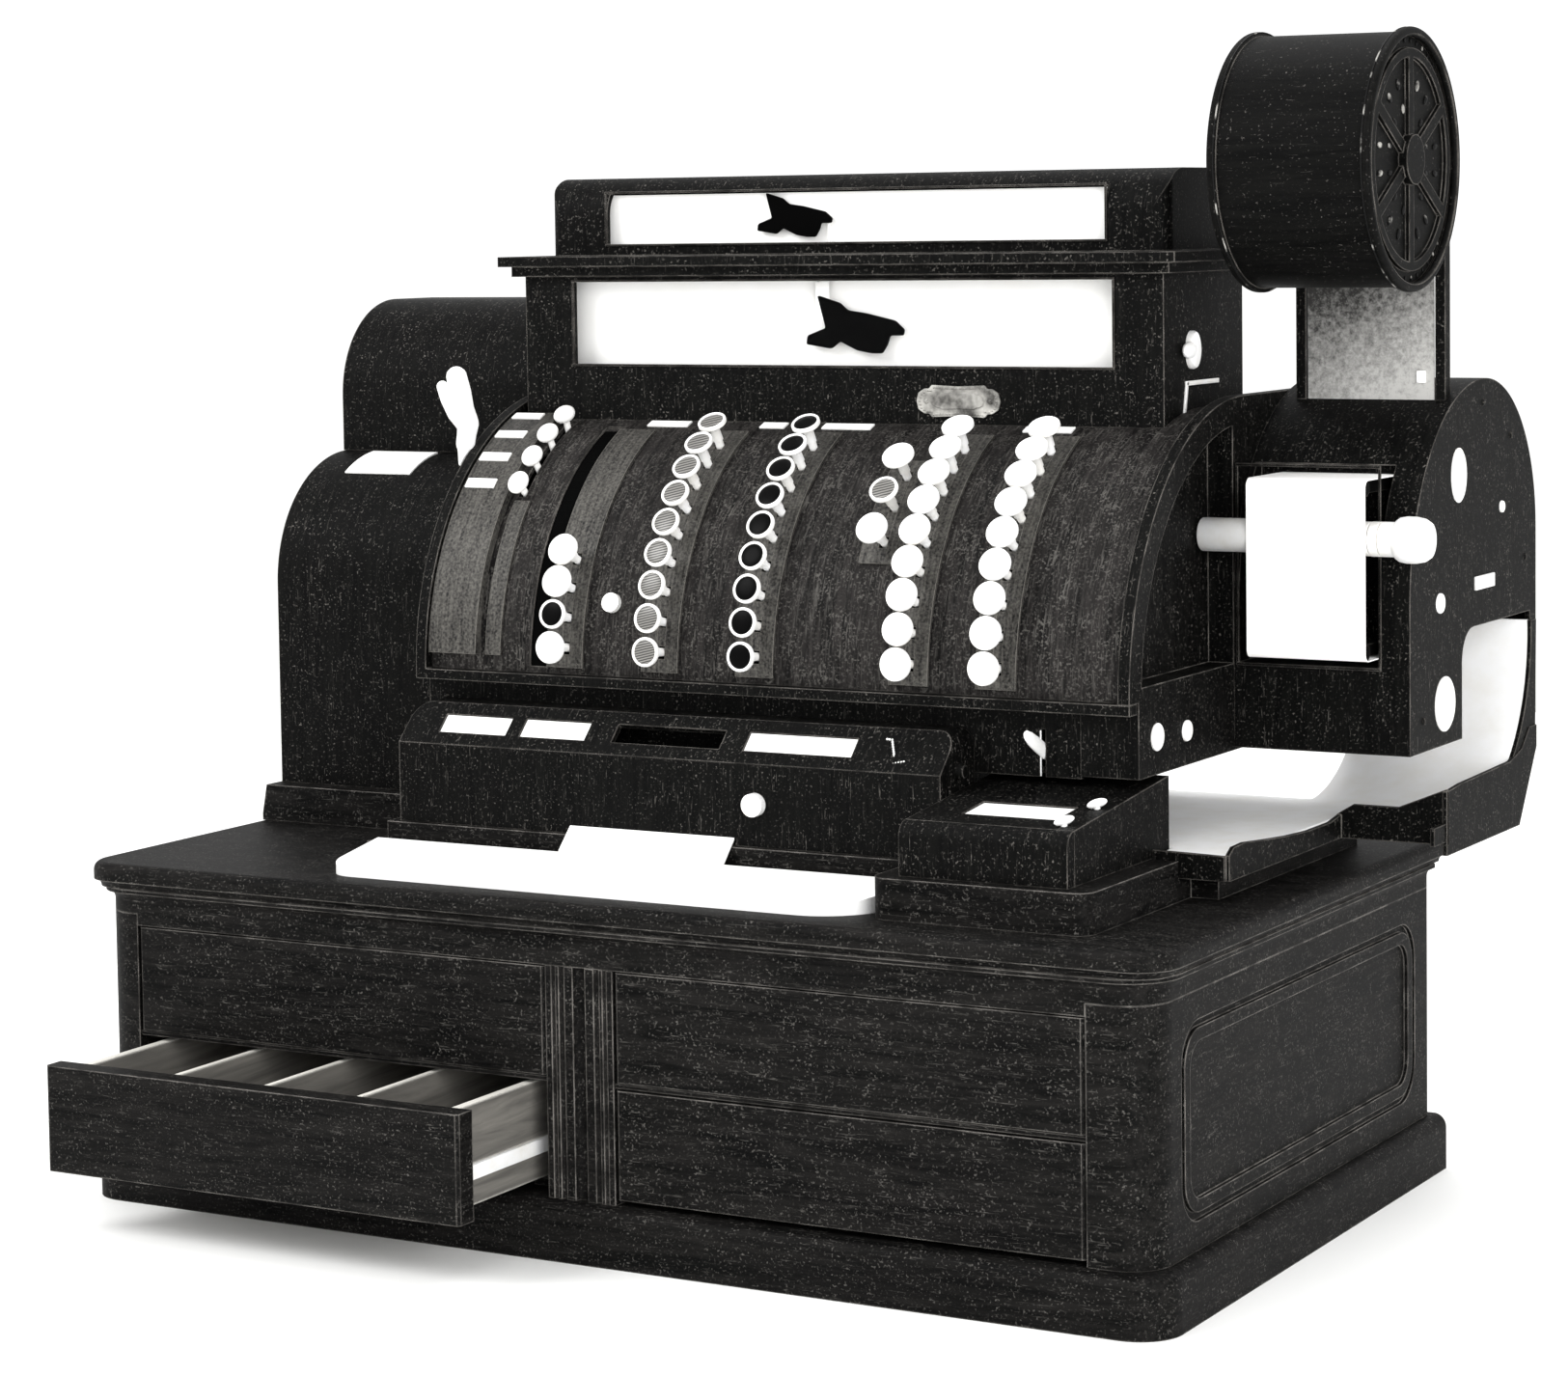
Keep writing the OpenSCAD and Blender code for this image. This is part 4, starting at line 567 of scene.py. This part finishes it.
def add_bank_webs():
    """Zinc webs that close the strips' slots between one stem and the next."""
    bm = bmesh.new()
    half_wide, stem_room = 3.1 * MM, 3.9 * MM
    full_banks = ("hundreds", "tens", "units", "cents")
    rows = [(BANK_X[name], KEY_ANGLE, KEY_PITCH, KEYS_IN_BANK) for name in full_banks]
    rows += [(BANK_X["transaction"], KEY_ANGLE, KEY_PITCH, 4)]
    rows += [(SHORT_BANK_X, SHORT_BANK_ANGLE, SHORT_BANK_PITCH, 3)]
    for x, start, pitch, count in rows:
        reach = math.radians(pitch) * STRIP_R / 2 - stem_room
        low, high = (-half_wide, -reach, STRIP_R - 1.6 * MM), (half_wide, reach, STRIP_R - 0.3 * MM)
        for i in range(count - 1):
            slab(bm, low, high, 0, on_keyboard(x, start + (i + 0.5) * pitch))
    make("bank_webs", bm, "case", BANK_STRIP)


def add_bank_channel():
    """Black slabs laid in the channel beside the transaction bank: painted shade in the recess."""
    bm = bmesh.new()
    half_wide, reach = 7 * MM, math.radians(1.55) * COVER_R
    low, high = (-half_wide, -reach, COVER_R - 2.2 * MM), (half_wide, reach, COVER_R - 1.2 * MM)
    for angle in range(3, 66, 3):
        slab(bm, low, high, 0, on_keyboard(BANK_X["transaction"] - 0.022, angle))
    make("bank_channel_painted_shade", bm, "case", BLACK_SHEET)


# ---------- levers ----------


def beads(bm, path):
    """Balls strung closely along a path of (place, radius), for a casting to be fused from."""
    for (start, r0), (end, r1) in zip(path, path[1:]):
        steps = max(2, int((end - start).length / (1.5 * MM)))
        for i in range(steps + 1):
            t = i / steps
            ball = Matrix.Translation(start.lerp(end, t))
            bmesh.ops.create_icosphere(bm, subdivisions=2, radius=r0 + (r1 - r0) * t, matrix=ball)


def add_hand_lever():
    """A cast grip with a squeeze latch in front, on an arm that swings in the groove beside the keyboard."""
    bm = bmesh.new()
    hub = facing((1, 0, 0), (LEVER_X - 0.002, KEY_AXLE.y, KEY_AXLE.z))
    turn(bm, [(0.0082, 0), (0.015, 0), (0.015, 0.004), (0.0082, 0.004), (0.0082, 0)], hub, 40)
    slab(bm, (-0.002, -0.006, 0.0135), (0.002, 0.006, 0.186), 0.6 * MM, on_keyboard(LEVER_X, 53))
    make("hand_lever_arm", bm, "hand_lever", NICKEL, stands_for=["hand_lever"])
    grip = [(-40.5, 552, 7.6), (-36.5, 541, 8.2), (-32, 529, 7.4), (-27.5, 519, 8.0)]
    grip += [(-29.5, 511, 7.0), (-31, 505, 7.0)]
    heel = [(-31, 505, 6.0), (-35, 497, 3.4), (-38, 491, 1.6)]
    latch = [(-58, 546, 4.4), (-53, 537, 4.7), (-44, 526, 5.0), (-33, 519, 6.0)]
    bm = bmesh.new()
    for path in (grip, heel, latch):
        beads(bm, [(Vector((LEVER_X, y * MM, z * MM)), r * MM) for y, z, r in path])
    piece = make("hand_lever_grip", bm, "hand_lever", WHITE_GRIP)
    fuse = piece.modifiers.new("fuse", "REMESH")
    fuse.mode = "VOXEL"
    fuse.voxel_size = 0.9 * MM
    fuse.use_smooth_shade = True
    settle = piece.modifiers.new("settle", "SMOOTH")
    settle.iterations = 8


def add_issue_lever():
    """The little lever in the slit: a flat shank on its pin, and a tapered finger that is cranked upwards."""
    bm = bmesh.new()
    thin = Matrix.Diagonal((0.4, 1, 1, 1))
    shank = Matrix.Translation(ISSUE_PIVOT) @ Matrix.Rotation(math.radians(90 - 4), 4, "X")
    turn(bm, [(0, -0.005), (0.0038, -0.004), (0.0042, 0.020), (0.0046, 0.027), (0, 0.028)], shank @ thin, 32)
    bend = Matrix.Translation((ISSUE_PIVOT.x, -0.0835, 0.3210))
    crank = bend @ Matrix.Rotation(math.radians(90 - 27), 4, "X")
    finger = [(0, -0.004), (0.0042, -0.003), (0.0050, 0.004), (0.0050, 0.014), (0.0044, 0.025)]
    finger += [(0.0030, 0.032), (0.0014, 0.0342), (0, 0.0347)]
    turn(bm, finger, crank @ thin, 32)
    boss = [(0, -0.0015), (0.007, -0.0015), (0.007, 0.0015), (0, 0.0015)]
    turn(bm, boss, facing((1, 0, 0), ISSUE_PIVOT), 32)
    make("issue_lever_blade", bm, "issue_lever", WHITE_GRIP, stands_for=["issue_lever"])


# ---------- number tablets ----------

# A pointing hand, cuff to fingertip, on a 75 by 39 mm sheet
HAND = [(9, 39), (26, 34), (32, 29), (46, 27), (68, 22), (75, 16), (74, 12), (64, 12), (62, 6), (58, 0)]
HAND += [(50, 0), (39, 2), (26, 8), (19, 3), (0, 6), (1, 12), (15, 17)]


def add_tablets():
    """Black pointing hands behind the two windows, on a white carrier that is lost against the boards."""
    for name, x, y, z, size in (
        ("tablet_lower", 0.022, TABLET_Y, 0.567, 1.0),
        ("tablet_crest", -0.024, CREST_TABLET_Y, 0.6455, 0.78),
    ):
        bm = bmesh.new()
        outline = [(u * MM * size, w * MM * size) for u, w in HAND]
        cut_out(bm, outline, 1.6 * MM, 1.3 * MM * size, Matrix.Translation((x, y + 0.0002, z)))
        stands_for = ["indicator_tablets"] if name == "tablet_lower" else []
        make(name, bm, "indicator_tablets", BLACK_SHEET, stands_for=stands_for)
    bm = bmesh.new()
    for x0, x1, front, back, z0, z1 in (
        (0.0285, 0.0390, TABLET_Y, TABLET_Y, 0.590, 0.6157),
        (0.0302, 0.0316, TABLET_Y, TABLET_Y, 0.6150, 0.626),
        (0.0302, 0.0316, TABLET_Y, CREST_TABLET_Y, 0.6235, 0.6255),
        (0.0302, 0.0316, CREST_TABLET_Y, CREST_TABLET_Y, 0.6235, 0.657),
    ):
        slab(bm, (x0, front + 2.0 * MM, z0), (x1, back + 0.003, z1))
    make("tablet_link", bm, "indicator_tablets", WHITE_ENAMEL)


# ---------- small fittings ----------


def screw(bm, at, direction, radius=2.6 * MM, turn_deg=20):
    """A round-headed slotted screw: its head with the slot sunk across it."""
    place = facing(direction, at) @ Matrix.Rotation(math.radians(turn_deg), 4, "Z")
    h = radius * 0.5
    profile = [(0, h * 0.98), (radius * 0.4, h * 0.93), (radius * 0.75, h * 0.7), (radius * 0.97, h * 0.25)]
    profile += [(radius, 0), (radius, -0.3 * MM), (0, -0.3 * MM)]
    turn(bm, profile, place, 16)
    slab(bm, (-radius * 0.92, -radius * 0.09, h * 0.62), (radius * 0.92, radius * 0.09, h * 1.04), 0, place)


def add_cartouche():
    """A bare beaded plate under the lower window, shouldered at its corners, with a screw at each end."""
    bm = bmesh.new()
    place = Matrix.Translation((0.142, 0.020, 0.536))
    corner = [(31, 0), (29.5, 5.5), (25, 8.3), (21.5, 8.3), (19.5, 10.7), (0, 9.8)]
    half = corner + [(-x, z) for x, z in reversed(corner[:-1])]
    outline = [(x * MM, z * MM) for x, z in half + [(x, -z) for x, z in reversed(half[1:-1])]]
    front = -1.2 * MM
    cut_out(bm, outline, front, 0.8 * MM, place)
    cut_out(bm, [(x * 0.62, z * 0.5) for x, z in outline], -1.9 * MM, 0.8 * MM, place)
    for (x0, z0), (x1, z1) in zip(outline, outline[1:] + outline[:1]):
        start, end = Vector((x0 * 0.92, front, z0 * 0.84)), Vector((x1 * 0.92, front, z1 * 0.84))
        count = max(1, round((end - start).length / (2.0 * MM)))
        for i in range(count):
            at = place @ start.lerp(end, i / count)
            bmesh.ops.create_icosphere(bm, subdivisions=2, radius=0.75 * MM, matrix=Matrix.Translation(at))
    for x in (-0.0235, 0.0235):
        screw(bm, place @ Vector((x, front, 0)), (0, -1, 0), 1.9 * MM)
    make("cartouche_plate", bm, "case", OLD_NICKEL)


def bead_frame(name, x0, x1, y, z0, z1, width):
    """A thin bezel round a window."""
    bm = bmesh.new()
    for left, right, bottom, top in (
        (x0 - width, x1 + width, z0 - width, z0),
        (x0 - width, x1 + width, z1, z1 + width),
        (x0 - width, x0, z0, z1),
        (x1, x1 + width, z0, z1),
    ):
        slab(bm, (left, y - 1.2 * MM, bottom), (right, y + 0.2 * MM, top), 0.4 * MM)
    make(name, bm, "case", GRAINED_STEEL)


def add_window_frames():
    bead_frame("indicator_bezel", -0.158, 0.254, 0.020, 0.559, 0.616, 1.6 * MM)
    bead_frame("crest_bezel", -0.142, 0.240, 0.040, 0.642, 0.677, 1.6 * MM)
    bead_frame("slip_bay_bezel", 0.324, 0.420, 0.061, 0.366, 0.494, 2.0 * MM)


def ovoid(bm, centre, half, turned=Matrix()):
    """A smooth egg with its three half sizes, in its own turned axes."""
    place = Matrix.Translation(centre) @ turned @ Matrix.Diagonal((*half, 1))
    bmesh.ops.create_icosphere(bm, subdivisions=4, radius=1, matrix=place)


def add_small_fittings():
    """The receipt box's thumb nuts, the slip printer's boss and hook, the slit's liner and the web's clip."""
    bm = bmesh.new()
    for x, y in ((0.311, -0.133), (0.309, -0.176)):
        z = 0.290 + (y + 0.185) * 15 / 140  # on the box's sloping top
        slant = Matrix.Rotation(math.radians(40), 4, "Z") @ Matrix.Rotation(math.radians(-14), 4, "Y")
        ovoid(bm, (x, y, z + 0.0034), (0.0066, 0.0022, 0.0028), slant)
        stem = [(0, 0.003), (0.0020, 0.003), (0.0020, -0.002), (0, -0.002)]
        turn(bm, stem, Matrix.Translation((x, y, z)), 20)
    make("receipt_thumb_nuts", bm, "case", NICKEL)
    bm = bmesh.new()
    boss = facing((1, 0, 0), (0.205, -0.112, 0.310))
    turn(bm, [(0, 0.006), (0.004, 0.0055), (0.0055, 0.003), (0.0055, -0.001), (0, -0.001)], boss, 24)
    make("slip_case_boss", bm, "case", GRAINED_STEEL)
    bm = bmesh.new()
    path = [(0.1615, -0.1235, 0.3294), (0.1650, -0.1235, 0.3292), (0.1680, -0.1265, 0.3175)]
    path += [(0.1690, -0.1300, 0.3150), (0.1760, -0.1290, 0.3165)]
    wire = 0.8 * MM
    beads(bm, [(Vector(at), wire) for at in path])
    make("slip_case_hook", bm, "case", NICKEL)
    bm = bmesh.new()
    slab(bm, (0.2514, -0.0886, 0.3065), (0.2521, -0.0875, 0.3355), 0.15 * MM)
    make("slit_liner", bm, "case", NICKEL)
    bm = bmesh.new()
    slab(bm, (0.4150, 0.1435, 0.5450), (0.4212, 0.1463, 0.5532), 0.4 * MM)
    make("web_clip", bm, "case", NICKEL)


def add_screws():
    """Blackened screws round the cases, and the small pins of the bank strips."""
    bm = bmesh.new()
    for y, z in ((0.085, 0.330), (0.285, 0.420), (0.200, 0.530), (0.255, 0.505)):
        screw(bm, (HOUSE_RIGHT, y, z), (1, 0, 0), 2.4 * MM, turn_deg=37 * (y + z) * 100)
    for x in (-0.375, -0.238):
        for z in (0.275, 0.385):
            screw(bm, (x, -0.019, z), (0, -1, 0), 2.2 * MM, turn_deg=1000 * x)
    for x in (-0.188, 0.280):
        for z, slant in ((0.532, 40), (0.608, 75)):
            screw(bm, (x, 0.020, z), (0, -1, 0), 2.2 * MM, turn_deg=slant)
    for x in (-0.198, 0.265):
        for z in (0.268, 0.336):
            screw(bm, (x, -0.088, z), (0, -1, 0), 2.2 * MM)
    make("case_screws", bm, "case", JAPAN)
    bm = bmesh.new()
    low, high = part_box("back_panel")
    for x in (low.x + 0.02, (low.x + high.x) / 2, high.x - 0.02):
        for z in (low.z + 0.02, high.z - 0.02):
            screw(bm, (x, high.y, z), (0, 1, 0), 3.0 * MM, turn_deg=900 * x)
    make("back_screws", bm, "case", OLD_NICKEL)
    bm = bmesh.new()
    for x in BANK_X.values():
        for angle in (2.2, 63.2):
            place = on_keyboard(x + 0.009, angle)
            outwards = place.to_3x3() @ Vector((0, 0, 1))
            screw(bm, place @ Vector((0, 0, STRIP_R)), outwards, 1.3 * MM, turn_deg=30)
    make("strip_screws", bm, "case", BANK_STRIP)


def add_drum_trim():
    """Rolled edges on the drum and the pressed pattern on its end, with bright spots painted in as glints."""
    bm = bmesh.new()
    rim, bead = 0.0835, 0.5 * MM
    around = [math.tau * i / 10 for i in range(10)]
    ring = [(rim + bead * math.cos(a), bead * math.sin(a)) for a in around]
    ring.append(ring[0])
    for x in (0.3372, 0.4358):
        turn(bm, ring, facing((1, 0, 0), (x, DRUM_AXLE.y, DRUM_AXLE.z)), 96)
    make("drum_edge_beads", bm, "case", GLINTING_RELIEF)
    bm = bmesh.new()
    face = 0.435 + 0.4 * MM
    for radius, count, size in ((0.0755, 44, 1.2), (0.050, 18, 2.6), (0.033, 12, 2.2)):
        for i in range(count):
            a = math.tau * (i + 0.5) / count
            at = (face, DRUM_AXLE.y + radius * math.cos(a), DRUM_AXLE.z + radius * math.sin(a))
            leaf = Matrix.Translation(at) @ Matrix.Rotation(a, 4, "X") @ Matrix.Diagonal((0.5, 1.5, 0.8, 1))
            bmesh.ops.create_icosphere(bm, subdivisions=2, radius=size * MM, matrix=leaf)
    make("drum_end_relief", bm, "case", GLINTING_RELIEF)


def add_dovetails():
    """End-grain dovetails where each tray side meets its drawer front."""
    for level in ("upper", "lower"):
        for side in ("left", "right"):
            low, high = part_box(f"{level}_{side}_tray")
            bm = bmesh.new()
            pitch = (high.z - low.z) / 4
            for x, out in ((low.x + 2.5 * MM, -1), (high.x - 2.5 * MM, 1)):
                for i in (0, 2, 3):  # the slide strip takes the room of the second
                    z = low.z + pitch * (i + 0.5)
                    tail = [(0, z - 5 * MM), (12 * MM, z - 3 * MM), (12 * MM, z + 3 * MM), (0, z + 5 * MM)]
                    place = Matrix.Translation((x, low.y, 0)) @ Matrix.Rotation(math.radians(90), 4, "Z")
                    cut_out(bm, tail, -0.25 * MM * out, 0, place)
            make(f"{level}_{side}_dovetails", bm, f"{level}_{side}_drawer", TULIPWOOD)


def add_case_trim():
    """The bright bent bracket low on the indicator's right side."""
    bm = bmesh.new()
    x0, x1, wide = 0.2898, 0.2914, 3 * MM
    slab(bm, (x0, 0.0533, 0.5460), (x1, 0.1070, 0.5460 + wide), 0.4 * MM)
    lean = Matrix.Translation((0, 0.0533, 0.5460)) @ Matrix.Rotation(math.radians(-12), 4, "X")
    slab(bm, (x0, 0, -0.0240), (x1, wide, 0.0030), 0.4 * MM, lean)
    make("indicator_bracket", bm, "case", NICKEL)


def add_chute_cheeks():
    """Dark castings that hem the paper in: a low waved one round the flat sheet, a deeper one by the bend."""
    bm = bmesh.new()
    side_on = Matrix.Rotation(math.radians(90), 4, "Z")
    waved = [(-70, 245), (-70, 261), (-62, 265.5), (-45, 266), (-6, 262.5), (25, 260), (62, 258), (101, 258)]
    waved += [(121, 261), (121, 245)]
    deep = [(118, 238), (118, 280), (145, 282), (194, 283), (244, 284), (268, 290), (284, 303)]
    deep += [(298, 303), (298, 288), (262, 238)]
    for outline, x in ((waved, 0.3715), (deep, 0.4450)):
        place = Matrix.Translation((x, 0, 0)) @ side_on
        cut_out(bm, [(y * MM, z * MM) for y, z in outline], 3 * MM, 0, place)
    lip = [(0.3206, 0.245), (0.3206, 0.262), (0.3690, 0.261), (0.3690, 0.245)]
    cut_out(bm, lip, 2.5 * MM, 0, Matrix.Translation((0, -0.0720, 0)))
    step = [(0.3685, 0.245), (0.3685, 0.261), (0.3800, 0.268), (0.4110, 0.268)]
    step += [(0.4450, 0.282), (0.4450, 0.245)]
    cut_out(bm, step, 2.5 * MM, 0, Matrix.Translation((0, 0.1185, 0)))
    make("chute_cheeks", bm, "case", GRAINED_STEEL)


def add_platen():
    """The bright platen: its roller, the sleeve beside the web and a rounded hand knob."""
    bm = bmesh.new()
    axle = facing((1, 0, 0), (0, 0.049, 0.450))
    roller = [(0, 0.2975), (0.005, 0.2975), (0.005, 0.304), (0.0106, 0.304), (0.011, 0.3045), (0.011, 0.4195)]
    roller += [(0.0105, 0.420), (0.0048, 0.420), (0.0048, 0.427), (0.0105, 0.427), (0.0112, 0.4275)]
    roller += [(0.0112, 0.4365), (0.0125, 0.4372), (0.0142, 0.4395), (0.0150, 0.4440), (0.0149, 0.4500)]
    roller += [(0.0138, 0.4555), (0.0115, 0.4590), (0.0080, 0.4602), (0, 0.4605)]
    turn(bm, roller, axle, 48)
    make("platen_roller", bm, "platen", NICKEL, stands_for=["platen"])
    bm = bmesh.new()
    collar = [(0.0093, 0.4207), (0.0112, 0.4207), (0.0112, 0.4266), (0.0093, 0.4266), (0.0093, 0.4207)]
    turn(bm, collar, axle, 48)
    make("platen_collar", bm, "case", NICKEL)


def domed_cap(bm, x, y, z, half_y, half_z, proud):
    """A shallow domed oval on a right-hand face."""
    rings = [(1.0, -0.2 * MM), (1.0, proud * 0.45), (0.93, proud * 0.8), (0.75, proud * 0.96), (0, proud)]
    on_face = Matrix.Translation((x, y, z)) @ Matrix.Rotation(math.radians(90), 4, "Y")
    turn(bm, rings, on_face @ Matrix.Diagonal((half_z, half_y, 1, 1)), 40)


def add_side_caps():
    """Bright oval covers and small plates on the right faces."""
    bm = bmesh.new()
    for x, y, z, half_y, half_z in (
        (HOUSE_RIGHT, 0.1510, 0.4845, 0.0135, 0.0180),
        (HOUSE_RIGHT, 0.1240, 0.3370, 0.0180, 0.0180),
        (HOUSE_RIGHT, 0.2360, 0.4580, 0.0040, 0.0040),
        (HOUSE_RIGHT, 0.1155, 0.4035, 0.0070, 0.0066),
        (0.320, -0.0632, 0.3318, 0.0090, 0.0088),
        (0.320, -0.0168, 0.3302, 0.0072, 0.0068),
    ):
        domed_cap(bm, x, y, z, half_y, half_z, 2 * MM)
    slab(bm, (HOUSE_RIGHT - 0.2 * MM, 0.182, 0.406), (HOUSE_RIGHT + 2 * MM, 0.218, 0.415), 0.5 * MM)
    make("side_cap_ovals", bm, "case", NICKEL, stands_for=["side_caps"])


def add_thumb_turn():
    """The indicator's key escutcheon: a tall oval with a thumb lobe in front."""
    bm = bmesh.new()
    centre = Vector((0.2903, 0.0625, 0.5692))
    domed_cap(bm, centre.x, centre.y, centre.z, 0.0085, 0.0125, 5 * MM)
    ovoid(bm, centre + Vector((0.003, -0.0095, 0)), (0.0035, 0.0085, 0.0055))
    stem = [(0, -0.0075), (0.0048, -0.0075), (0.0048, 0.0005), (0, 0.0005)]
    turn(bm, stem, facing((1, 0, 0), centre), 24)
    make("thumb_turn_lobe", bm, "thumb_turn", NICKEL, stands_for=["thumb_turn"])


def add_slide_strips():
    """Bright drawn strips let into both sides of each tray, on which it runs."""
    for level in ("upper", "lower"):
        for side in ("left", "right"):
            low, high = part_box(f"{level}_{side}_tray")
            bm = bmesh.new()
            for x0, x1 in ((low.x - 0.2 * MM, low.x + 3 * MM), (high.x - 3 * MM, high.x + 0.2 * MM)):
                strip_low = (x0, low.y + 8.8 * MM, low.z + 16.8 * MM)
                slab(bm, strip_low, (x1, high.y - 15.8 * MM, low.z + 26.2 * MM), 0.3 * MM)
            make(f"{level}_{side}_slide_strips", bm, f"{level}_{side}_drawer", NICKEL)


# ---------- studio ----------


def add_stage():
    """A plain pale floor that runs out to a pale world."""
    bm = bmesh.new()
    bmesh.ops.create_grid(bm, x_segments=1, y_segments=1, size=40)
    mesh = bpy.data.meshes.new("floor")
    bm.to_mesh(mesh)
    bm.free()
    mat, shader = surface("matt_paper_floor", Roughness=0.9)
    feed(mat, shader, {"Base Color": blend(mat, noise(mat, here(mat), 3, 2), "#fafaf8", "#fdfdfc")})
    mesh.materials.append(mat)
    floor = bpy.data.objects.new("floor", mesh)
    scene.collection.objects.link(floor)
    world = bpy.data.worlds.new("studio")
    world.use_nodes = True
    sky = world.node_tree.nodes["Background"]
    sky.inputs["Color"].default_value = linear("#ffffff")
    sky.inputs["Strength"].default_value = 1.12
    scene.world = world
    scene.view_settings.view_transform = "Standard"


def add_light(name, at, target, size, watts):
    data = bpy.data.lights.new(name, "AREA")
    data.shape = "DISK"
    data.size = size
    data.energy = watts
    lamp = bpy.data.objects.new(name, data)
    lamp.location = at
    lamp.rotation_euler = (Vector(target) - Vector(at)).to_track_quat("-Z", "Y").to_euler()
    scene.collection.objects.link(lamp)


def add_lights():
    add_light("soft_key", (-1.6, -2.2, 2.4), (0, 0, 0.35), 1.6, 60)
    add_light("wide_fill", (2.4, -1.8, 1.0), (0.3, 0, 0.35), 2.0, 60)
    add_light("top_wash", (0.2, 0.6, 2.8), (0, 0, 0.3), 2.0, 35)


def add_camera():
    """A long lens to the right of the machine, level with its keys, with a small drop of the frame."""
    azimuth, tilt, roll = 0.5152, 0.0716, -0.0141
    data = bpy.data.cameras.new("camera")
    data.lens = 90.0
    data.sensor_width = 36.0
    data.shift_x = 0.0052
    data.shift_y = -0.12
    data.clip_end = 50
    camera = bpy.data.objects.new("camera", data)
    turned = (
        Matrix.Rotation(azimuth, 4, "Z")
        @ Matrix.Rotation(math.pi / 2 - tilt, 4, "X")
        @ Matrix.Rotation(roll, 4, "Z")
    )
    camera.matrix_world = Matrix.Translation((1.3136, -2.2969, 0.6586)) @ turned
    scene.collection.objects.link(camera)
    scene.camera = camera


dress_cad()
add_keys()
add_bank_webs()
add_bank_channel()
add_hand_lever()
add_issue_lever()
add_tablets()
add_cartouche()
add_window_frames()
add_small_fittings()
add_screws()
add_drum_trim()
add_dovetails()
add_case_trim()
add_chute_cheeks()
add_platen()
add_side_caps()
add_thumb_turn()
add_slide_strips()
add_stage()
add_lights()
add_camera()
